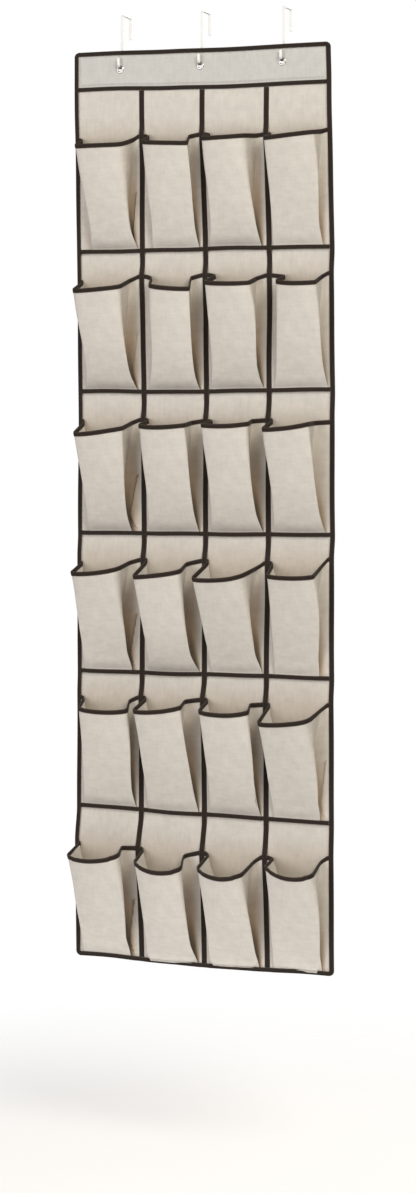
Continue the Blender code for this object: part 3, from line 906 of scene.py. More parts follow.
# The right-hand folds: how softly they roll; how far in they stand at 0.6 and 0.25 of the height and in the
# hem; how softly the pleat turns at the mouth, all in mm; and how strongly a dart creases the flange
RIGHT_FOLDS = (
    ((14, 8, 5, 1, 9, 1), (3, 3, 3, 2, 3, 0), (9, 13, 5, 3, 9, 0), (6, 4, 8, 8, 9, 0)),
    ((8, 12, 9, 5, 9, 0.5), (3, 4, 5, 4, 3, 0), (7, -2, 3, 2, 6, 0), (4, 3, 4, 2, 9, 0)),
    ((4, 11, 14, 15, 9, 1), (3, 7, 6, 5, 9, 0), (8, 9, 6, 3, 3, 0), (3, 13, 10, 7, 9, 0)),
    ((14, 15, 13, 14, 9, 1), (12, 13, 10, 4, 9, 0), (15, 10, 8, 4, 9, 0), (4, 5, 12, 17, 9, 0)),
    ((7, 0, 4, 5, 6, 0), (3, 12, 7, 5, 9, 0), (6, 6, 6, 6, 4, 0), (14, 9, 10, 15, 9, 0.6)),
    ((16, 7, 11, 14, 6, 1), (12, 10, 8, 5, 9, 0), (8, 13, 8, 8, 9, 0), (8, 2, 7, 11, 9, 0)),
)
# How the depth grows from hem to mouth: a low power fills the pocket soon above the hem, and 1 makes a wedge
FILLS = ((0.3, 0.5, 0.3, 0.7), (0.35, 0.3, 0.5, 0.6), (0.55, 0.5, 0.4, 0.5), (0.8, 0.45, 0.9, 1.0),
         (0.6, 0.8, 0.6, 1.0), (0.9, 0.65, 0.8, 1.0))

Side = namedtuple("Side", "inward edge seam rise droop lie roll stands turn")
Pocket = namedtuple("Pocket", "base hem_low hem_high depth fill sag dart hem_rolls left right")


def pocket_side(row, line_number, inward, droop, lie, roll, stands, turn):
    """The sewn edge and pleat of one side of a pocket, in metres."""
    at_edge = line_number in (0, COLUMNS)
    hidden = HIDDEN_EDGE if at_edge else GAP / 2
    covered = EDGE_TAPE if at_edge else COLUMN_TAPE / 2
    line = column_lines[line_number]
    return Side(inward, line + inward * hidden, line + inward * (covered + SIDE_CLEARANCE),
                MOUTH_RAISES[row][line_number] * MM, droop * MM, lie * MM, roll * MM,
                np.polyfit(STAND_HEIGHTS, np.array(stands) * MM, 3), turn * MM)


def pocket_facts(row, column):
    depth, in_left, in_right, drop_left, drop_right, lie_left, lie_right = POCKET_FORMS[row][column]
    roll, high, low, hem, turn, dart = RIGHT_FOLDS[row][column]
    fill = FILLS[row][column]
    fuller = SIDE_LOOK * depth * (np.power(STAND_HEIGHTS, fill) - STAND_HEIGHTS)
    left_hem = LEFT_HEMS[row][column]
    z = row_lines[row] + POCKET_HEIGHT * np.array(STAND_HEIGHTS)
    left_stands = left_hem + (in_left - left_hem) * np.array(STAND_HEIGHTS) + fuller - seam_pull(column, z)
    right_stands = np.array((hem, low, high, in_right)) + seam_pull(column + 1, z)
    last = row == ROWS - 1
    return Pocket(
        base=row_lines[row],
        hem_low=HIDDEN_EDGE if last else -0.3 * ROW_TAPE,
        hem_high=EDGE_TAPE + MM if last else ROW_TAPE / 2 + MM,
        depth=depth * MM,
        fill=fill,
        sag=MOUTH_SAGS[row][column] * MM,
        dart=dart,
        hem_rolls=np.array(HEM_ROLLS[column]) * MM * last,
        left=pocket_side(row, column, 1, drop_left, lie_left, LEFT_ROLL, left_stands, LEFT_TURN),
        right=pocket_side(row, column + 1, -1, drop_right, lie_right, roll, right_stands, turn),
    )


# %% Cross-section of a pocket
SEAM_STEPS = 5
FLANGE_STEPS = 14
FOLD_STEPS = 9
GUSSET_STEPS = 7
ROLL_STEPS = 11
FRONT_STEPS = 21
# Share of the front's droop that the inner fold takes, where the pleat turns in a step and where it slopes
STEP_DROOP = 0.2
SLOPE_DROOP = 0.36
STEP_TURN = 5 * MM
# Shares of the height where the mouth corners begin to rise, and where the tape lifts the seam
CORNER_RISE = 0.5
SEAM_LIFT = (0.72, 0.94)


def bend(before, corner, after, cut, steps):
    """Points round a corner, on a soft curve that begins and ends up to cut away from it."""
    start = corner + (before - corner) * min(cut / np.linalg.norm(before - corner), 0.45)
    end = corner + (after - corner) * min(cut / np.linalg.norm(after - corner), 0.45)
    share = np.linspace(0, 1, steps)[:, None]
    return (1 - share) ** 2 * start + 2 * share * (1 - share) * corner + share ** 2 * end


def between(start, end, steps):
    """Evenly spaced points between two others, without them."""
    share = np.linspace(0, 1, steps + 2)[1:-1, None]
    return start + (end - start) * share


def pleat_length(pocket, side):
    """Cloth from the seam to the front's fold: the flange and the gusset, measured at the mouth."""
    gusset = math.hypot(side.lie - np.polyval(side.stands, 1), pocket.depth - MOUTH - PLEAT_STAND)
    return side.lie + gusset


def side_bends(pocket, side, height):
    """Sewn edge, seam, inner fold and front fold at a share of the pocket's height: (x, forward, rise)."""
    start = HEM_EASE ** pocket.fill
    reach = ((height + HEM_EASE) ** pocket.fill - start) / ((1 + HEM_EASE) ** pocket.fill - start)
    rise = height * (POCKET_HEIGHT - pocket.hem_high)
    lifted = side.rise * float(ease(height, CORNER_RISE, 1))
    dropped = height * side.droop
    sewn = FLAT + (MOUTH - FLAT) * float(ease(height, *SEAM_LIFT))
    standing = np.polyval(side.stands, height)
    depth = FRONT_FLOOR + reach * (pocket.depth - FRONT_FLOOR)
    share = STEP_DROOP if side.turn < STEP_TURN else SLOPE_DROOP
    fold_rise = rise + lifted - share * (lifted + dropped)
    fold_stand = sewn + GAP / 2 + (MOUTH + PLEAT_STAND - sewn) * height ** 2
    spare = pleat_length(pocket, side) - standing
    lying = standing + (spare ** 2 - (depth - fold_stand) ** 2) / (2 * spare)
    return (
        np.array((side.edge, sewn, rise + lifted)),
        np.array((side.seam, sewn, rise + lifted)),
        np.array((side.seam + side.inward * lying, fold_stand, fold_rise)),
        np.array((side.seam + side.inward * standing, depth, rise - dropped)),
    )


def hairpin(corner, inward):
    """Points round the tight turn of a pleat pressed flat, from its gusset to the front above it."""
    turn = np.radians(np.linspace(-90, 90, ROLL_STEPS))
    radius = (FRONT_FLOOR - PRESSED) / 2
    tip = corner - np.array((0, radius, 0))
    steps = np.stack([inward * (1 - np.cos(turn)), np.sin(turn), 0 * turn], axis=-1)
    return tip + steps * radius


def side_curve(bends, front_point, side, height):
    """One side of the section with its bends rounded, up to the front."""
    edge, seam, fold, corner = bends
    soft = float(ease(height, 0.6, 1))
    at_seam = bend(edge, seam, fold, (1.5 + 2 * soft) * MM, SEAM_STEPS)
    at_fold = bend(seam, fold, corner, 1.5 * MM + soft * side.turn, FOLD_STEPS)
    roll = side.roll * (0.6 + 0.9 * float(ease(height, 0.3, 1)))
    rolled = bend(fold, corner, front_point, max(roll, 5 * MM * height), ROLL_STEPS)
    loose = float(ease(height, 0.02, 0.2))
    at_front = rolled * loose + hairpin(corner, side.inward) * (1 - loose)
    return np.concatenate([
        edge[None], at_seam, between(at_seam[-1], at_fold[0], FLANGE_STEPS), at_fold,
        between(at_fold[-1], at_front[0], GUSSET_STEPS), at_front,
    ])


def pocket_section(pocket, height):
    """Points across a pocket at a share of its height, from the left seam to the right one."""
    left = side_bends(pocket, pocket.left, height)
    right = side_bends(pocket, pocket.right, height)
    reach = (left[3][1] - FRONT_FLOOR) / (pocket.depth - FRONT_FLOOR)
    bulge = HEM_BULGE * bell(height, *HEM_BULGE_AT)
    roll_out = ROLL_FORWARD * bell(height, *ROLL_OUT_AT)
    roll_down = bell(height, *ROLL_DOWN_AT)

    def front(share):
        swell = 4 * share * (1 - share)
        rolling = ease(share, -0.03, 0.05) * ease(1 - share, 0, 0.12)
        roll = np.interp(share, (0, 1), pocket.hem_rolls) * rolling
        out = reach * (FRONT_BOW + pocket.sag / 3) * swell + bulge * swell ** 0.5 + roll_out * roll
        down = height * pocket.sag * swell + 0.4 * bulge * swell + roll_down * roll
        line = left[3] + (right[3] - left[3]) * np.asarray(share)[..., None]
        return line + np.stack([0 * swell, out, -down], axis=-1)

    shares = np.linspace(0, 1, FRONT_STEPS)
    left_side = side_curve(left, front(shares[6]), pocket.left, height)
    right_side = side_curve(right, front(shares[-7]), pocket.right, height)
    width = np.linalg.norm(right[3] - left[3])
    start = np.linalg.norm(left_side[-1] - left[3]) / width
    end = 1 - np.linalg.norm(right_side[-1] - right[3]) / width
    middle_part = front(np.linspace(start, end, FRONT_STEPS)[1:-1])
    return np.concatenate([left_side, middle_part, right_side[::-1]])


# %% [markdown]
# The smooth form is still too perfect for cloth that has been folded, shipped and hung. Small moves along the
# surface normal add what the photograph shows: slack undulation, fine gathers above the hem where the pleat
# is pressed in, a diagonal drag line at the lower left and, on some pockets, a dart in the right gusset.

# %% Wrinkles
SIDE_POINTS = 1 + SEAM_STEPS + FLANGE_STEPS + FOLD_STEPS + GUSSET_STEPS + ROLL_STEPS
FOLD_POINT = SEAM_STEPS + FLANGE_STEPS + FOLD_STEPS // 2
LEVELS = np.concatenate([
    np.linspace(0, 0.12, 14)[:-1], np.linspace(0.12, 0.9, 36)[:-1], np.linspace(0.9, 1, 8),
])
GRID_HEIGHTS = np.concatenate([[0], LEVELS])
SLACK = 1.3 * MM
CRUMPLE = 0.35 * MM
GATHER = 0.9 * MM
DRAG = 1.0 * MM
DART_LOW = 0.14
DART_HIGH = 0.5
DART_EDGE = 1.5 * MM
DART_STAND = 4 * MM


def surface_normals(grid):
    return unit(np.cross(np.gradient(grid, axis=1), np.gradient(grid, axis=0)))


def free_to_wrinkle(count):
    """0 over the flanges and gussets and 1 from the front's folds inward."""
    index = np.arange(count)
    return ease(np.minimum(index, count - 1 - index), FOLD_POINT + 4, SIDE_POINTS)


def dart_line(pocket, height):
    """How far from the right seam the dart's ridge runs, and where it exists."""
    low = side_bends(pocket, pocket.right, DART_LOW)[3]
    seen = pocket.right.seam - low[0] + SIDE_LOOK * low[1]
    ridge = np.interp(height, (0, DART_LOW, DART_HIGH), (3 * MM, 0.8 * seen, 2 * MM))
    return ridge, pocket.dart * (height < DART_HIGH) * ease(height, 0, 0.04)


def right_flange(grid):
    count = grid.shape[1]
    return np.arange(count) > count - 1 - FOLD_POINT


def dart_rise(grid, pocket, height):
    """Full on the ridge of the dart, falling to 0 at the seam and sharply beyond the ridge."""
    ridge, there = dart_line(pocket, height)
    from_seam = pocket.right.seam - grid[..., 0]
    rising = np.clip(from_seam / ridge, 0, 1) ** 1.5
    beyond = np.clip((from_seam - ridge) / DART_EDGE, 0, 1)
    return rising * (1 - beyond) * there * right_flange(grid)


def dart_shade(grid, pocket, height):
    """Full in the crease beside the ridge, fading toward the front's fold."""
    ridge, there = dart_line(pocket, height)
    past = pocket.right.seam - grid[..., 0] - ridge
    crease = ease(past, -0.5 * MM, 1.5 * MM) * np.exp(-np.maximum(past, 0) / (9 * MM))
    return crease * there * right_flange(grid)


def wrinkle(grid, pocket, seed):
    """Move a pocket's points along their normals by the folds and slack of used canvas."""
    count = grid.shape[1]
    x = grid[..., 0]
    z = grid[..., 2]
    along = np.array([run_length(row) for row in grid])
    along -= along[:, count // 2, None]
    height = GRID_HEIGHTS[:, None]
    free = free_to_wrinkle(count)[None, :] * ease(height, 0.02, 0.12) * (1 - 0.5 * ease(height, 0.9, 1))
    slack = SLACK * soft_noise(along / 0.045, z / 0.07, seed)
    crumple = CRUMPLE * soft_noise(along / 0.014, z / 0.02, seed + 40)
    gathers = GATHER * soft_noise(along / 0.009, z / 0.12, seed + 80) * np.exp(-height / 0.16)
    corner = pocket.left.seam + np.polyval(pocket.left.stands, 0)
    drag = (x - corner) * 0.75 - (z - pocket.base - 12 * MM)
    drag_line = DRAG * bell(drag, 0, 5 * MM) * bell(x, corner, 45 * MM)
    moves = free * (slack + crumple + gathers + drag_line)
    moves += DART_STAND * dart_rise(grid, pocket, height)
    return grid + surface_normals(grid) * moves[..., None]


def pocket_grid(row, column):
    """Rows of points on the outside of a pocket, from its hidden hem up to its mouth, and its facts."""
    pocket = pocket_facts(row, column)
    sections = [pocket_section(pocket, max(height, 1e-4)) for height in LEVELS]
    hem = sections[0].copy()
    hem[:, 2] = pocket.hem_low - pocket.hem_high
    points = np.stack([hem] + sections)
    grid = place(points[..., 0], points[..., 1], pocket.base + pocket.hem_high + points[..., 2])
    return wrinkle(grid, pocket, 11.0 * row + 3.1 * column), pocket


# %% Sewing the pockets on
# Width of the rubbed line and painted highlight on a fold, in points, and the largest roll that is still
# pressed sharp
FOLD_RUB_AND_HIGHLIGHT = 1.3
SHARP_ROLL = 8.5 * MM


def cloth_uv(grid):
    """UVs measured along the cloth. A strip is cut along the roll, so its warp runs across the pocket."""
    across = np.array([run_length(row) for row in grid])
    across -= across[:, -1:] / 2
    middle_column = grid.shape[1] // 2
    up = run_length(grid[:, middle_column])
    return np.stack([np.broadcast_to(up[:, None], across.shape), across], axis=-1)


def behind_the_fold(grid, pocket):
    """0 at the right-hand seam and full on the flange where the front's fold begins to hide it."""
    corners = np.array([side_bends(pocket, pocket.right, max(height, 1e-4))[3] for height in GRID_HEIGHTS])
    seen = pocket.right.seam - corners[:, 0] + SIDE_LOOK * corners[:, 1]
    from_seam = pocket.right.seam - grid[..., 0]
    return ease(from_seam / np.maximum(seen, MM)[:, None], 0.1, 0.85) * right_flange(grid)


def painted_pleat_shade(grid, pocket):
    """Painted shade on the cloth folded away in the pleats, most of all between pockets and low."""
    count = grid.shape[1]
    index = np.minimum(np.arange(count), count - 1 - np.arange(count))
    height = GRID_HEIGHTS[:, None]
    folded = ease(index, 3, SEAM_STEPS + 8) * (1 - ease(index, SIDE_POINTS - 11, SIDE_POINTS - 7))
    between_pockets = pocket.right.seam < column_lines[-2] + COLUMN_TAPE
    share = np.where(np.arange(count) < count / 2, 0.2, 1 if between_pockets else 0.55)
    shade = (folded * share)[None, :] * (1 - 0.9 * ease(height, -0.35, 1.05))
    crevice_shade = share[-1] * behind_the_fold(grid, pocket) * (1 - ease(height, 0.1, 0.75))
    return np.maximum.reduce([shade, 0.95 * crevice_shade, 0.9 * dart_shade(grid, pocket, height)])


def rubbed_and_highlit_folds(grid, pocket):
    """The front's folds get a lighter line where they are pressed sharp, partly rubbed canvas and partly a
    painted highlight.
    """
    count = grid.shape[1]
    height = GRID_HEIGHTS[:, None]
    corner = SIDE_POINTS - 1 - ROLL_STEPS // 2
    from_left = bell(np.arange(count), corner, FOLD_RUB_AND_HIGHLIGHT)
    sharp = 1 if pocket.right.roll < SHARP_ROLL else 0.3
    from_right = sharp * bell(count - 1 - np.arange(count), corner, FOLD_RUB_AND_HIGHLIGHT)
    return np.maximum(from_left, from_right)[None, :] * (1 - 0.6 * ease(height, 0.4, 0.8))


pocket_grids = {}
pocket_pieces = {}
for row in range(ROWS):
    for column in range(COLUMNS):
        grid, pocket = pocket_grid(row, column)
        pocket_grids[row, column] = grid
        name = f"pocket_r{row + 1}_c{column + 1}"
        # The first mark paints shade into the pleats; the second marks the rubbed folds and their painted
        # highlight
        marks = {"painted_shade": painted_pleat_shade(grid, pocket), "edge": rubbed_and_highlit_folds(grid, pocket)}
        pocket_pieces[row, column] = make_sheet(
            name.replace("pocket", "pocket_cloth"), grid, cloth_uv(grid), marks, canvas, [name])
mouth_lengths = [run_length(grid[-1])[-1] for grid in pocket_grids.values()]
print(len(pocket_pieces), "pockets with mouths from", round(min(mouth_lengths), 3), "to",
      round(max(mouth_lengths), 3), "m round")

# %% [markdown]
# ## Folded tape along the mouths
# One tape runs over the mouths of a whole row, folded so that it grips the cloth between two leaves. It is
# swept along the rim: at each point the section is turned so that it stands square to the rim and follows
# the lean of the cloth below. The section is rounded at the fold and dips where the stitches pull it in.

# %% Sweeping tape sections
# Closed section of the folded tape, (outward, down) in mm from the rim
MOUTH_SECTION = (
    (0.90, 6.8), (1.00, 6.4), (0.80, 5.4), (1.05, 4.3), (1.16, 2.6), (1.08, 0.9), (0.75, -0.4), (0.2, -1.0),
    (-0.4, -1.15), (-1.0, -1.0), (-1.55, -0.4), (-1.8, 0.9), (-1.88, 2.6), (-1.78, 4.3), (-1.55, 5.4),
    (-1.72, 6.4), (-1.6, 6.8), (-1.2, 6.8), (-1.15, 0.0), (-0.4, -0.45), (0.35, 0.0), (0.4, 6.8),
)


def sweep(name, points, outward, down, section, material, nodes, edges, ring=False):
    """A closed tape section carried along a line of points; edges are the section's rubbed places."""
    section = np.asarray(section) * MM
    stations, corners = len(points), section.shape[-2]
    spread = points[:, None] + outward[:, None] * section[..., :1] + down[:, None] * section[..., 1:]
    section = section.reshape(-1, corners, 2)[0]
    row, column = grid_corners(stations, corners, ring_rows=ring, ring_columns=True)
    faces = ((row % stations) * corners + column % corners).tolist()
    along = run_length(np.concatenate([points, points[:1]]) if ring else points)
    around = run_length(np.concatenate([section, section[:1]]))
    uvs = np.stack([along[row], around[column]], axis=-1).reshape(-1, 2).tolist()
    if not ring:
        faces, uvs = closed_ends(faces, uvs, stations, corners)
    mesh = make_mesh(name, sway(spread), faces, uvs, material)
    mark_points(mesh, "edge", np.tile(np.isin(np.arange(corners), edges), stations))
    face_outward(mesh)
    return make_piece(mesh, nodes)


def smooth_line(values, rounds):
    """Average neighbours along a line a few times."""
    for _ in range(rounds):
        padded = np.concatenate([values[:1], values, values[-1:]])
        values = (padded[:-2] + 2 * padded[1:-1] + padded[2:]) / 4
    return values


# %% Mouth tapes
MOUTH_TAPE = 6.8 * MM
BELOW_RIM = -6
MOUTH_TAPE_EDGES = (0, 1, 6, 7, 8, 9, 15, 16)
# How much the tape is pinched where the left-hand pleats turn, by row, and over which points of each rim
MOUTH_PINCHES = (0, 0, 0, 0.05, 0.2, 0.35)
PINCH_STARTS = (3, 9)
PINCH_ENDS = (27, 40)


def mouth_line(row):
    """Rim of a whole row of pockets, with its outward and downward directions.

    The downward one is short where the tape is pinched, on the left-hand pleats.
    """
    rim = np.concatenate([pocket_grids[row, column][-1, 1:-1] for column in range(COLUMNS)])
    below = np.concatenate([pocket_grids[row, column][BELOW_RIM, 1:-1] for column in range(COLUMNS)])
    stub = np.array((SIDE_CLEARANCE - GAP / 2, 0, 0))
    rim = np.concatenate([rim[:1] - stub, rim, rim[-1:] + stub])
    below = np.concatenate([below[:1] - stub, below, below[-1:] + stub])
    along = unit(np.gradient(rim, axis=0))
    down = unit(smooth_line(unit(below - rim), 2))
    outward = unit(np.cross(down, along))
    index = np.arange(len(rim) // COLUMNS)
    pinch = MOUTH_PINCHES[row] * ease(index, *PINCH_STARTS) * (1 - ease(index, *PINCH_ENDS))
    slim = 1 - np.concatenate([[0], np.tile(pinch, COLUMNS), [0]])
    return rim, outward, down * slim[:, None]


mouth_lines = [mouth_line(row) for row in range(ROWS)]
for row, (rim, outward, down) in enumerate(mouth_lines):
    sweep(f"mouth_tape_r{row + 1}", rim, outward, down, MOUTH_SECTION, brown_tape,
                             [f"mouth_binding_r{row + 1}"], MOUTH_TAPE_EDGES)
print("mouth tapes are", [round(run_length(rim)[-1], 3) for rim, _, _ in mouth_lines], "m long")

# %% [markdown]
# ## Tapes over the seams
# A flat tape hides each column seam and each row seam. Woven tape sewn down along both edges stands up
# slightly in the middle, so its section is crowned, with a dip under each line of stitches. The column
# tapes climb over the row tapes and over the folded mouth tapes, and the height of their line follows that.

# %% Flat tapes
STEP_ALONG = 4 * MM
# Where the stitches press a flat tape down, in mm from its edge, and how high it is there
STITCH_INSET = 1.2
STITCH_DIP = 0.46
FLAT_TAPE_EDGES = (0, 1, 2, 8, 9, 10)
OUT = np.array((0, -1.0, 0))
DOWN = np.array((0, 0, -1.0))
RIGHT = np.array((1.0, 0, 0))


def flat_section(width):
    """Crowned section of a sewn tape: (forward, across) in mm."""
    half = width / MM / 2
    upper = (
        (0.15, half), (0.55, half - 0.15), (0.62, half - 0.6),
        (STITCH_DIP, half - STITCH_INSET), (0.66, half - 1.9), (0.82, 0.0),
    )
    mirrored = [(forward, -across) for forward, across in reversed(upper[:-1])]
    return (*upper, *mirrored, (0.0, -half + 0.4), (0.0, half - 0.4))


def column_heights(seam):
    """Height of a column tape's rear at each z, from the header down to the bottom binding."""
    on_panel = GAP
    on_row_tape = TAPE_REAR + TAPE + GAP
    on_mouth = MOUTH + FOLD_PLAY + TAPE + GAP
    heights = [(header_line - ROW_TAPE / 2 - GAP, on_panel)]
    for row, base in enumerate(row_lines):
        mouth = base + POCKET_HEIGHT + MOUTH_RAISES[row][seam] * MM
        heights += [(mouth + 14 * MM, on_panel), (mouth + 3 * MM, on_mouth),
                    (mouth - MOUTH_TAPE - 2 * MM, on_mouth),
                    (base + 0.8 * POCKET_HEIGHT, on_row_tape), (base + 0.6 * POCKET_HEIGHT, TAPE_REAR)]
        if row < ROWS - 1:
            heights += [(base + 2 * ROW_TAPE, TAPE_REAR), (base + ROW_TAPE / 2 + MM, on_row_tape),
                        (base - ROW_TAPE / 2 - MM, on_row_tape), (base - 2 * ROW_TAPE, on_panel)]
        else:
            heights.append((base + EDGE_TAPE + GAP, TAPE_REAR))
    return np.array(heights)


def column_tape_line(seam):
    x = column_lines[seam]
    knots = column_heights(seam)[::-1]
    z = np.linspace(knots[-1, 0], knots[0, 0], int((knots[-1, 0] - knots[0, 0]) / STEP_ALONG))
    forward = np.interp(z, knots[:, 0], knots[:, 1])
    return place(x, np.maximum(smooth_line(forward, 3), forward), z)


def over_pleats(x):
    """0 at the column seams and 1 where a tape lies on the layers of a pressed pleat or on the front."""
    return away_from(x, column_lines, 5 * MM, 9 * MM)


def row_tape_line(z):
    reach = size_of("header_tape", 0) / 2
    x = np.linspace(-reach, reach, int(2 * reach / STEP_ALONG))
    raised = 0 if z == header_line else over_pleats(x)
    return place(x, TAPE_REAR + (FRONT_FLOOR - FLAT) * raised, z)


def directions(points, direction):
    return np.broadcast_to(direction, points.shape)


row_names = ["header_tape"] + [f"row_tape_r{row}" for row in range(1, ROWS)]
row_tape_lines = [row_tape_line(z) for z in [header_line] + row_lines[:-1]]
column_tape_lines = [column_tape_line(seam) for seam in range(1, COLUMNS)]
column_names = [f"column_tape_{side}" for side in SIDES]
flat_kinds = (
    (row_names, row_tape_lines, DOWN, ROW_TAPE),
    (column_names, column_tape_lines, RIGHT, COLUMN_TAPE),
)
for nodes, lines, sideways, width in flat_kinds:
    for node, line in zip(nodes, lines):
        sweep(
            node.replace("tape", "seam_tape"), line, directions(line, OUT), directions(line, sideways),
            flat_section(width), brown_tape, [node], FLAT_TAPE_EDGES)

# %% [markdown]
# ## Board in the header
# The stiff board inside the header follows the sewn band, so it is swept along the same wavering line. It is
# hidden, and shows only as a thin dark edge where somebody looks into the header from below.

# %% Header board
def board_line():
    x = np.linspace(board_low.x, board_high.x, 81)
    return place(x, GAP, (board_low.z + board_high.z) / 2)


line = board_line()
half_board = (board_high.z - board_low.z) / 2 / MM
thick_board = (board_high.y - board_low.y) / MM
board_section = ((0, -half_board), (thick_board, -half_board), (thick_board, half_board), (0, half_board))
header_board = sweep("header_board", line, directions(line, OUT), directions(line, DOWN), board_section,
                     fibreboard, ["header_stiffener"], ())
punch_eyelet_holes(header_board)
print("header board is", round(thick_board, 2), "mm thick")

# %% [markdown]
# ## Binding round the panel
# The outer binding is a wider tape folded round the raw edge of the panel and of the pocket strips. It is
# the same sweep, made into a ring, with more points on the four small round corners.

# %% Edge binding
PANEL_ROUND = 9 * MM
CORNER_STEPS = 13
EDGE_STEP = 6 * MM
# Closed section of the folded tape, (inward, out) in mm, and its places that get rubbed
EDGE_SECTION = (
    (8.0, 2.5), (7.95, 2.95), (7.4, 3.08), (6.6, 2.86), (5.4, 3.12), (3.2, 3.22), (1.3, 3.08), (0.35, 2.4),
    (0.0, 1.2), (0.0, -0.2), (0.35, -1.2), (1.3, -1.75), (3.2, -1.9), (5.4, -1.84), (6.6, -1.6), (7.4, -1.8),
    (7.95, -1.7), (8.0, -1.3), (1.1, -1.12), (0.6, -0.4), (0.6, 1.6), (1.1, 2.45),
)
EDGE_TAPE_EDGES = (0, 1, 7, 8, 9, 10, 16, 17)


def panel_outline():
    """Points round the panel's outer edge with their inward directions, clockwise from the top right."""
    low_x, high_x = edge_low.x + PANEL_ROUND, edge_high.x - PANEL_ROUND
    low_z, high_z = edge_low.z + PANEL_ROUND, edge_high.z - PANEL_ROUND
    corners = ((high_x, high_z, 90), (high_x, low_z, 0), (low_x, low_z, -90), (low_x, high_z, -180))
    points = []
    inward = []
    for number, (x, z, start) in enumerate(corners):
        angles = np.radians(start - np.linspace(0, 90, CORNER_STEPS))
        out = np.stack([np.cos(angles), 0 * angles, np.sin(angles)], axis=-1)
        turn = np.array((x, FACE_Y, z)) + out * PANEL_ROUND
        next_x, next_z, next_start = corners[(number + 1) % 4]
        next_out = np.array((math.cos(math.radians(next_start)), 0, math.sin(math.radians(next_start))))
        goal = np.array((next_x, FACE_Y, next_z)) + next_out * PANEL_ROUND
        straight = between(turn[-1], goal, int(np.linalg.norm(goal - turn[-1]) / EDGE_STEP))
        points += [turn, straight]
        inward += [-out, np.broadcast_to(-out[-1], straight.shape)]
    return np.concatenate(points), np.concatenate(inward)


outline, inward = panel_outline()
at_bottom = over_pleats(outline[:, 0]) * (outline[:, 2] < edge_low.z + PANEL_ROUND / 2)
lift = at_bottom * (FRONT_FLOOR + GAP - MOUTH) / MM
edge_sections = np.tile(EDGE_SECTION, (len(outline), 1, 1))
edge_sections[..., 1] += lift[:, None] * (edge_sections[0, :, 1] > 2)
edge_tape = sweep("edge_tape", outline, inward, directions(outline, OUT), edge_sections, brown_tape,
                  ["edge_binding"], EDGE_TAPE_EDGES, ring=True)
print("edge binding is", round(run_length(np.concatenate([outline, outline[:1]]))[-1], 2), "m long")

# %% [markdown]
# ## Stitches
# Two lines of lockstitch hold each flat tape, and one line holds each folded tape. Lockstitch shows on both
# faces of the cloth. A stitch is a short arch of thread that dives into the tape at both ends. Thousands are
# needed, so one small arch is made as an array and copied along every line at once with NumPy.

# %% Arches of thread
STITCH_START = 4 * MM
STITCH_PITCH = 3.4 * MM
STITCH_LENGTH = 2.5 * MM
THREAD_RADIUS = 0.26 * MM
# Places along one arch: share of its length, height in mm and thickness of the thread
ARCH = ((-0.5, -0.30, 0.7), (-0.32, 0.06, 1.0), (0.0, 0.16, 1.05), (0.32, 0.06, 1.0), (0.5, -0.30, 0.7))


def one_stitch():
    """Points of one arch as (along, across, out), and its faces."""
    angles = np.radians((45, 135, 225, 315))
    ring = np.stack([np.cos(angles), np.sin(angles)], axis=-1)
    points = []
    for share, rise, thickness in ARCH:
        across = ring[:, 0] * THREAD_RADIUS * thickness
        out = rise * MM + ring[:, 1] * THREAD_RADIUS * thickness
        points.append(np.stack([np.full(4, share * STITCH_LENGTH), across, out], axis=-1))
    row, column = grid_corners(len(ARCH), 4, ring_columns=True)
    faces = (row * 4 + column % 4).tolist()
    last = 4 * (len(ARCH) - 1)
    return np.concatenate(points), faces + [[0, 1, 2, 3], [last + 3, last + 2, last + 1, last]]


def at_lengths(stops, length, vectors):
    """Vectors given along a line, read at other lengths of it."""
    return np.stack([np.interp(stops, length, vectors[:, axis]) for axis in range(3)], axis=-1)


def stitch_places(line, outward):
    """Evenly spaced places along a line, with the thread's direction and the outward direction at each."""
    length = run_length(line)
    stops = np.arange(STITCH_START, length[-1] - STITCH_START, STITCH_PITCH)
    at = at_lengths(stops, length, line)
    ahead = at_lengths(stops + MM, length, line)
    return at, unit(ahead - at), unit(at_lengths(stops, length, outward))


def sew(name, lines):
    """One mesh of all the stitches along several lines of points."""
    stitch, faces = one_stitch()
    places = [stitch_places(line, outward) for line, outward in lines]
    at, along, out = (np.concatenate(part) for part in zip(*places))
    across = unit(np.cross(out, along))
    points = (at[:, None] + along[:, None] * stitch[None, :, :1] + across[:, None] * stitch[None, :, 1:2]
              + out[:, None] * stitch[None, :, 2:])
    count = len(stitch)
    all_faces = []
    all_uvs = []
    face_uvs = [[stitch[i, 0], stitch[i, 1]] for face in faces for i in face]
    for number in range(len(at)):
        all_faces += [[number * count + i for i in face] for face in faces]
        all_uvs += face_uvs
    mesh = make_mesh(name, sway(points), all_faces, all_uvs, brown_thread)
    face_outward(mesh)
    print(name, "has", len(at), "stitches")
    return make_piece(mesh, [])


# %% Lines of stitches
def shifted(line, direction, distance, outward, height):
    """A copy of a line moved sideways over the tape and out to its surface."""
    return line + direction * distance + outward * height, directions(line, outward) * 1.0


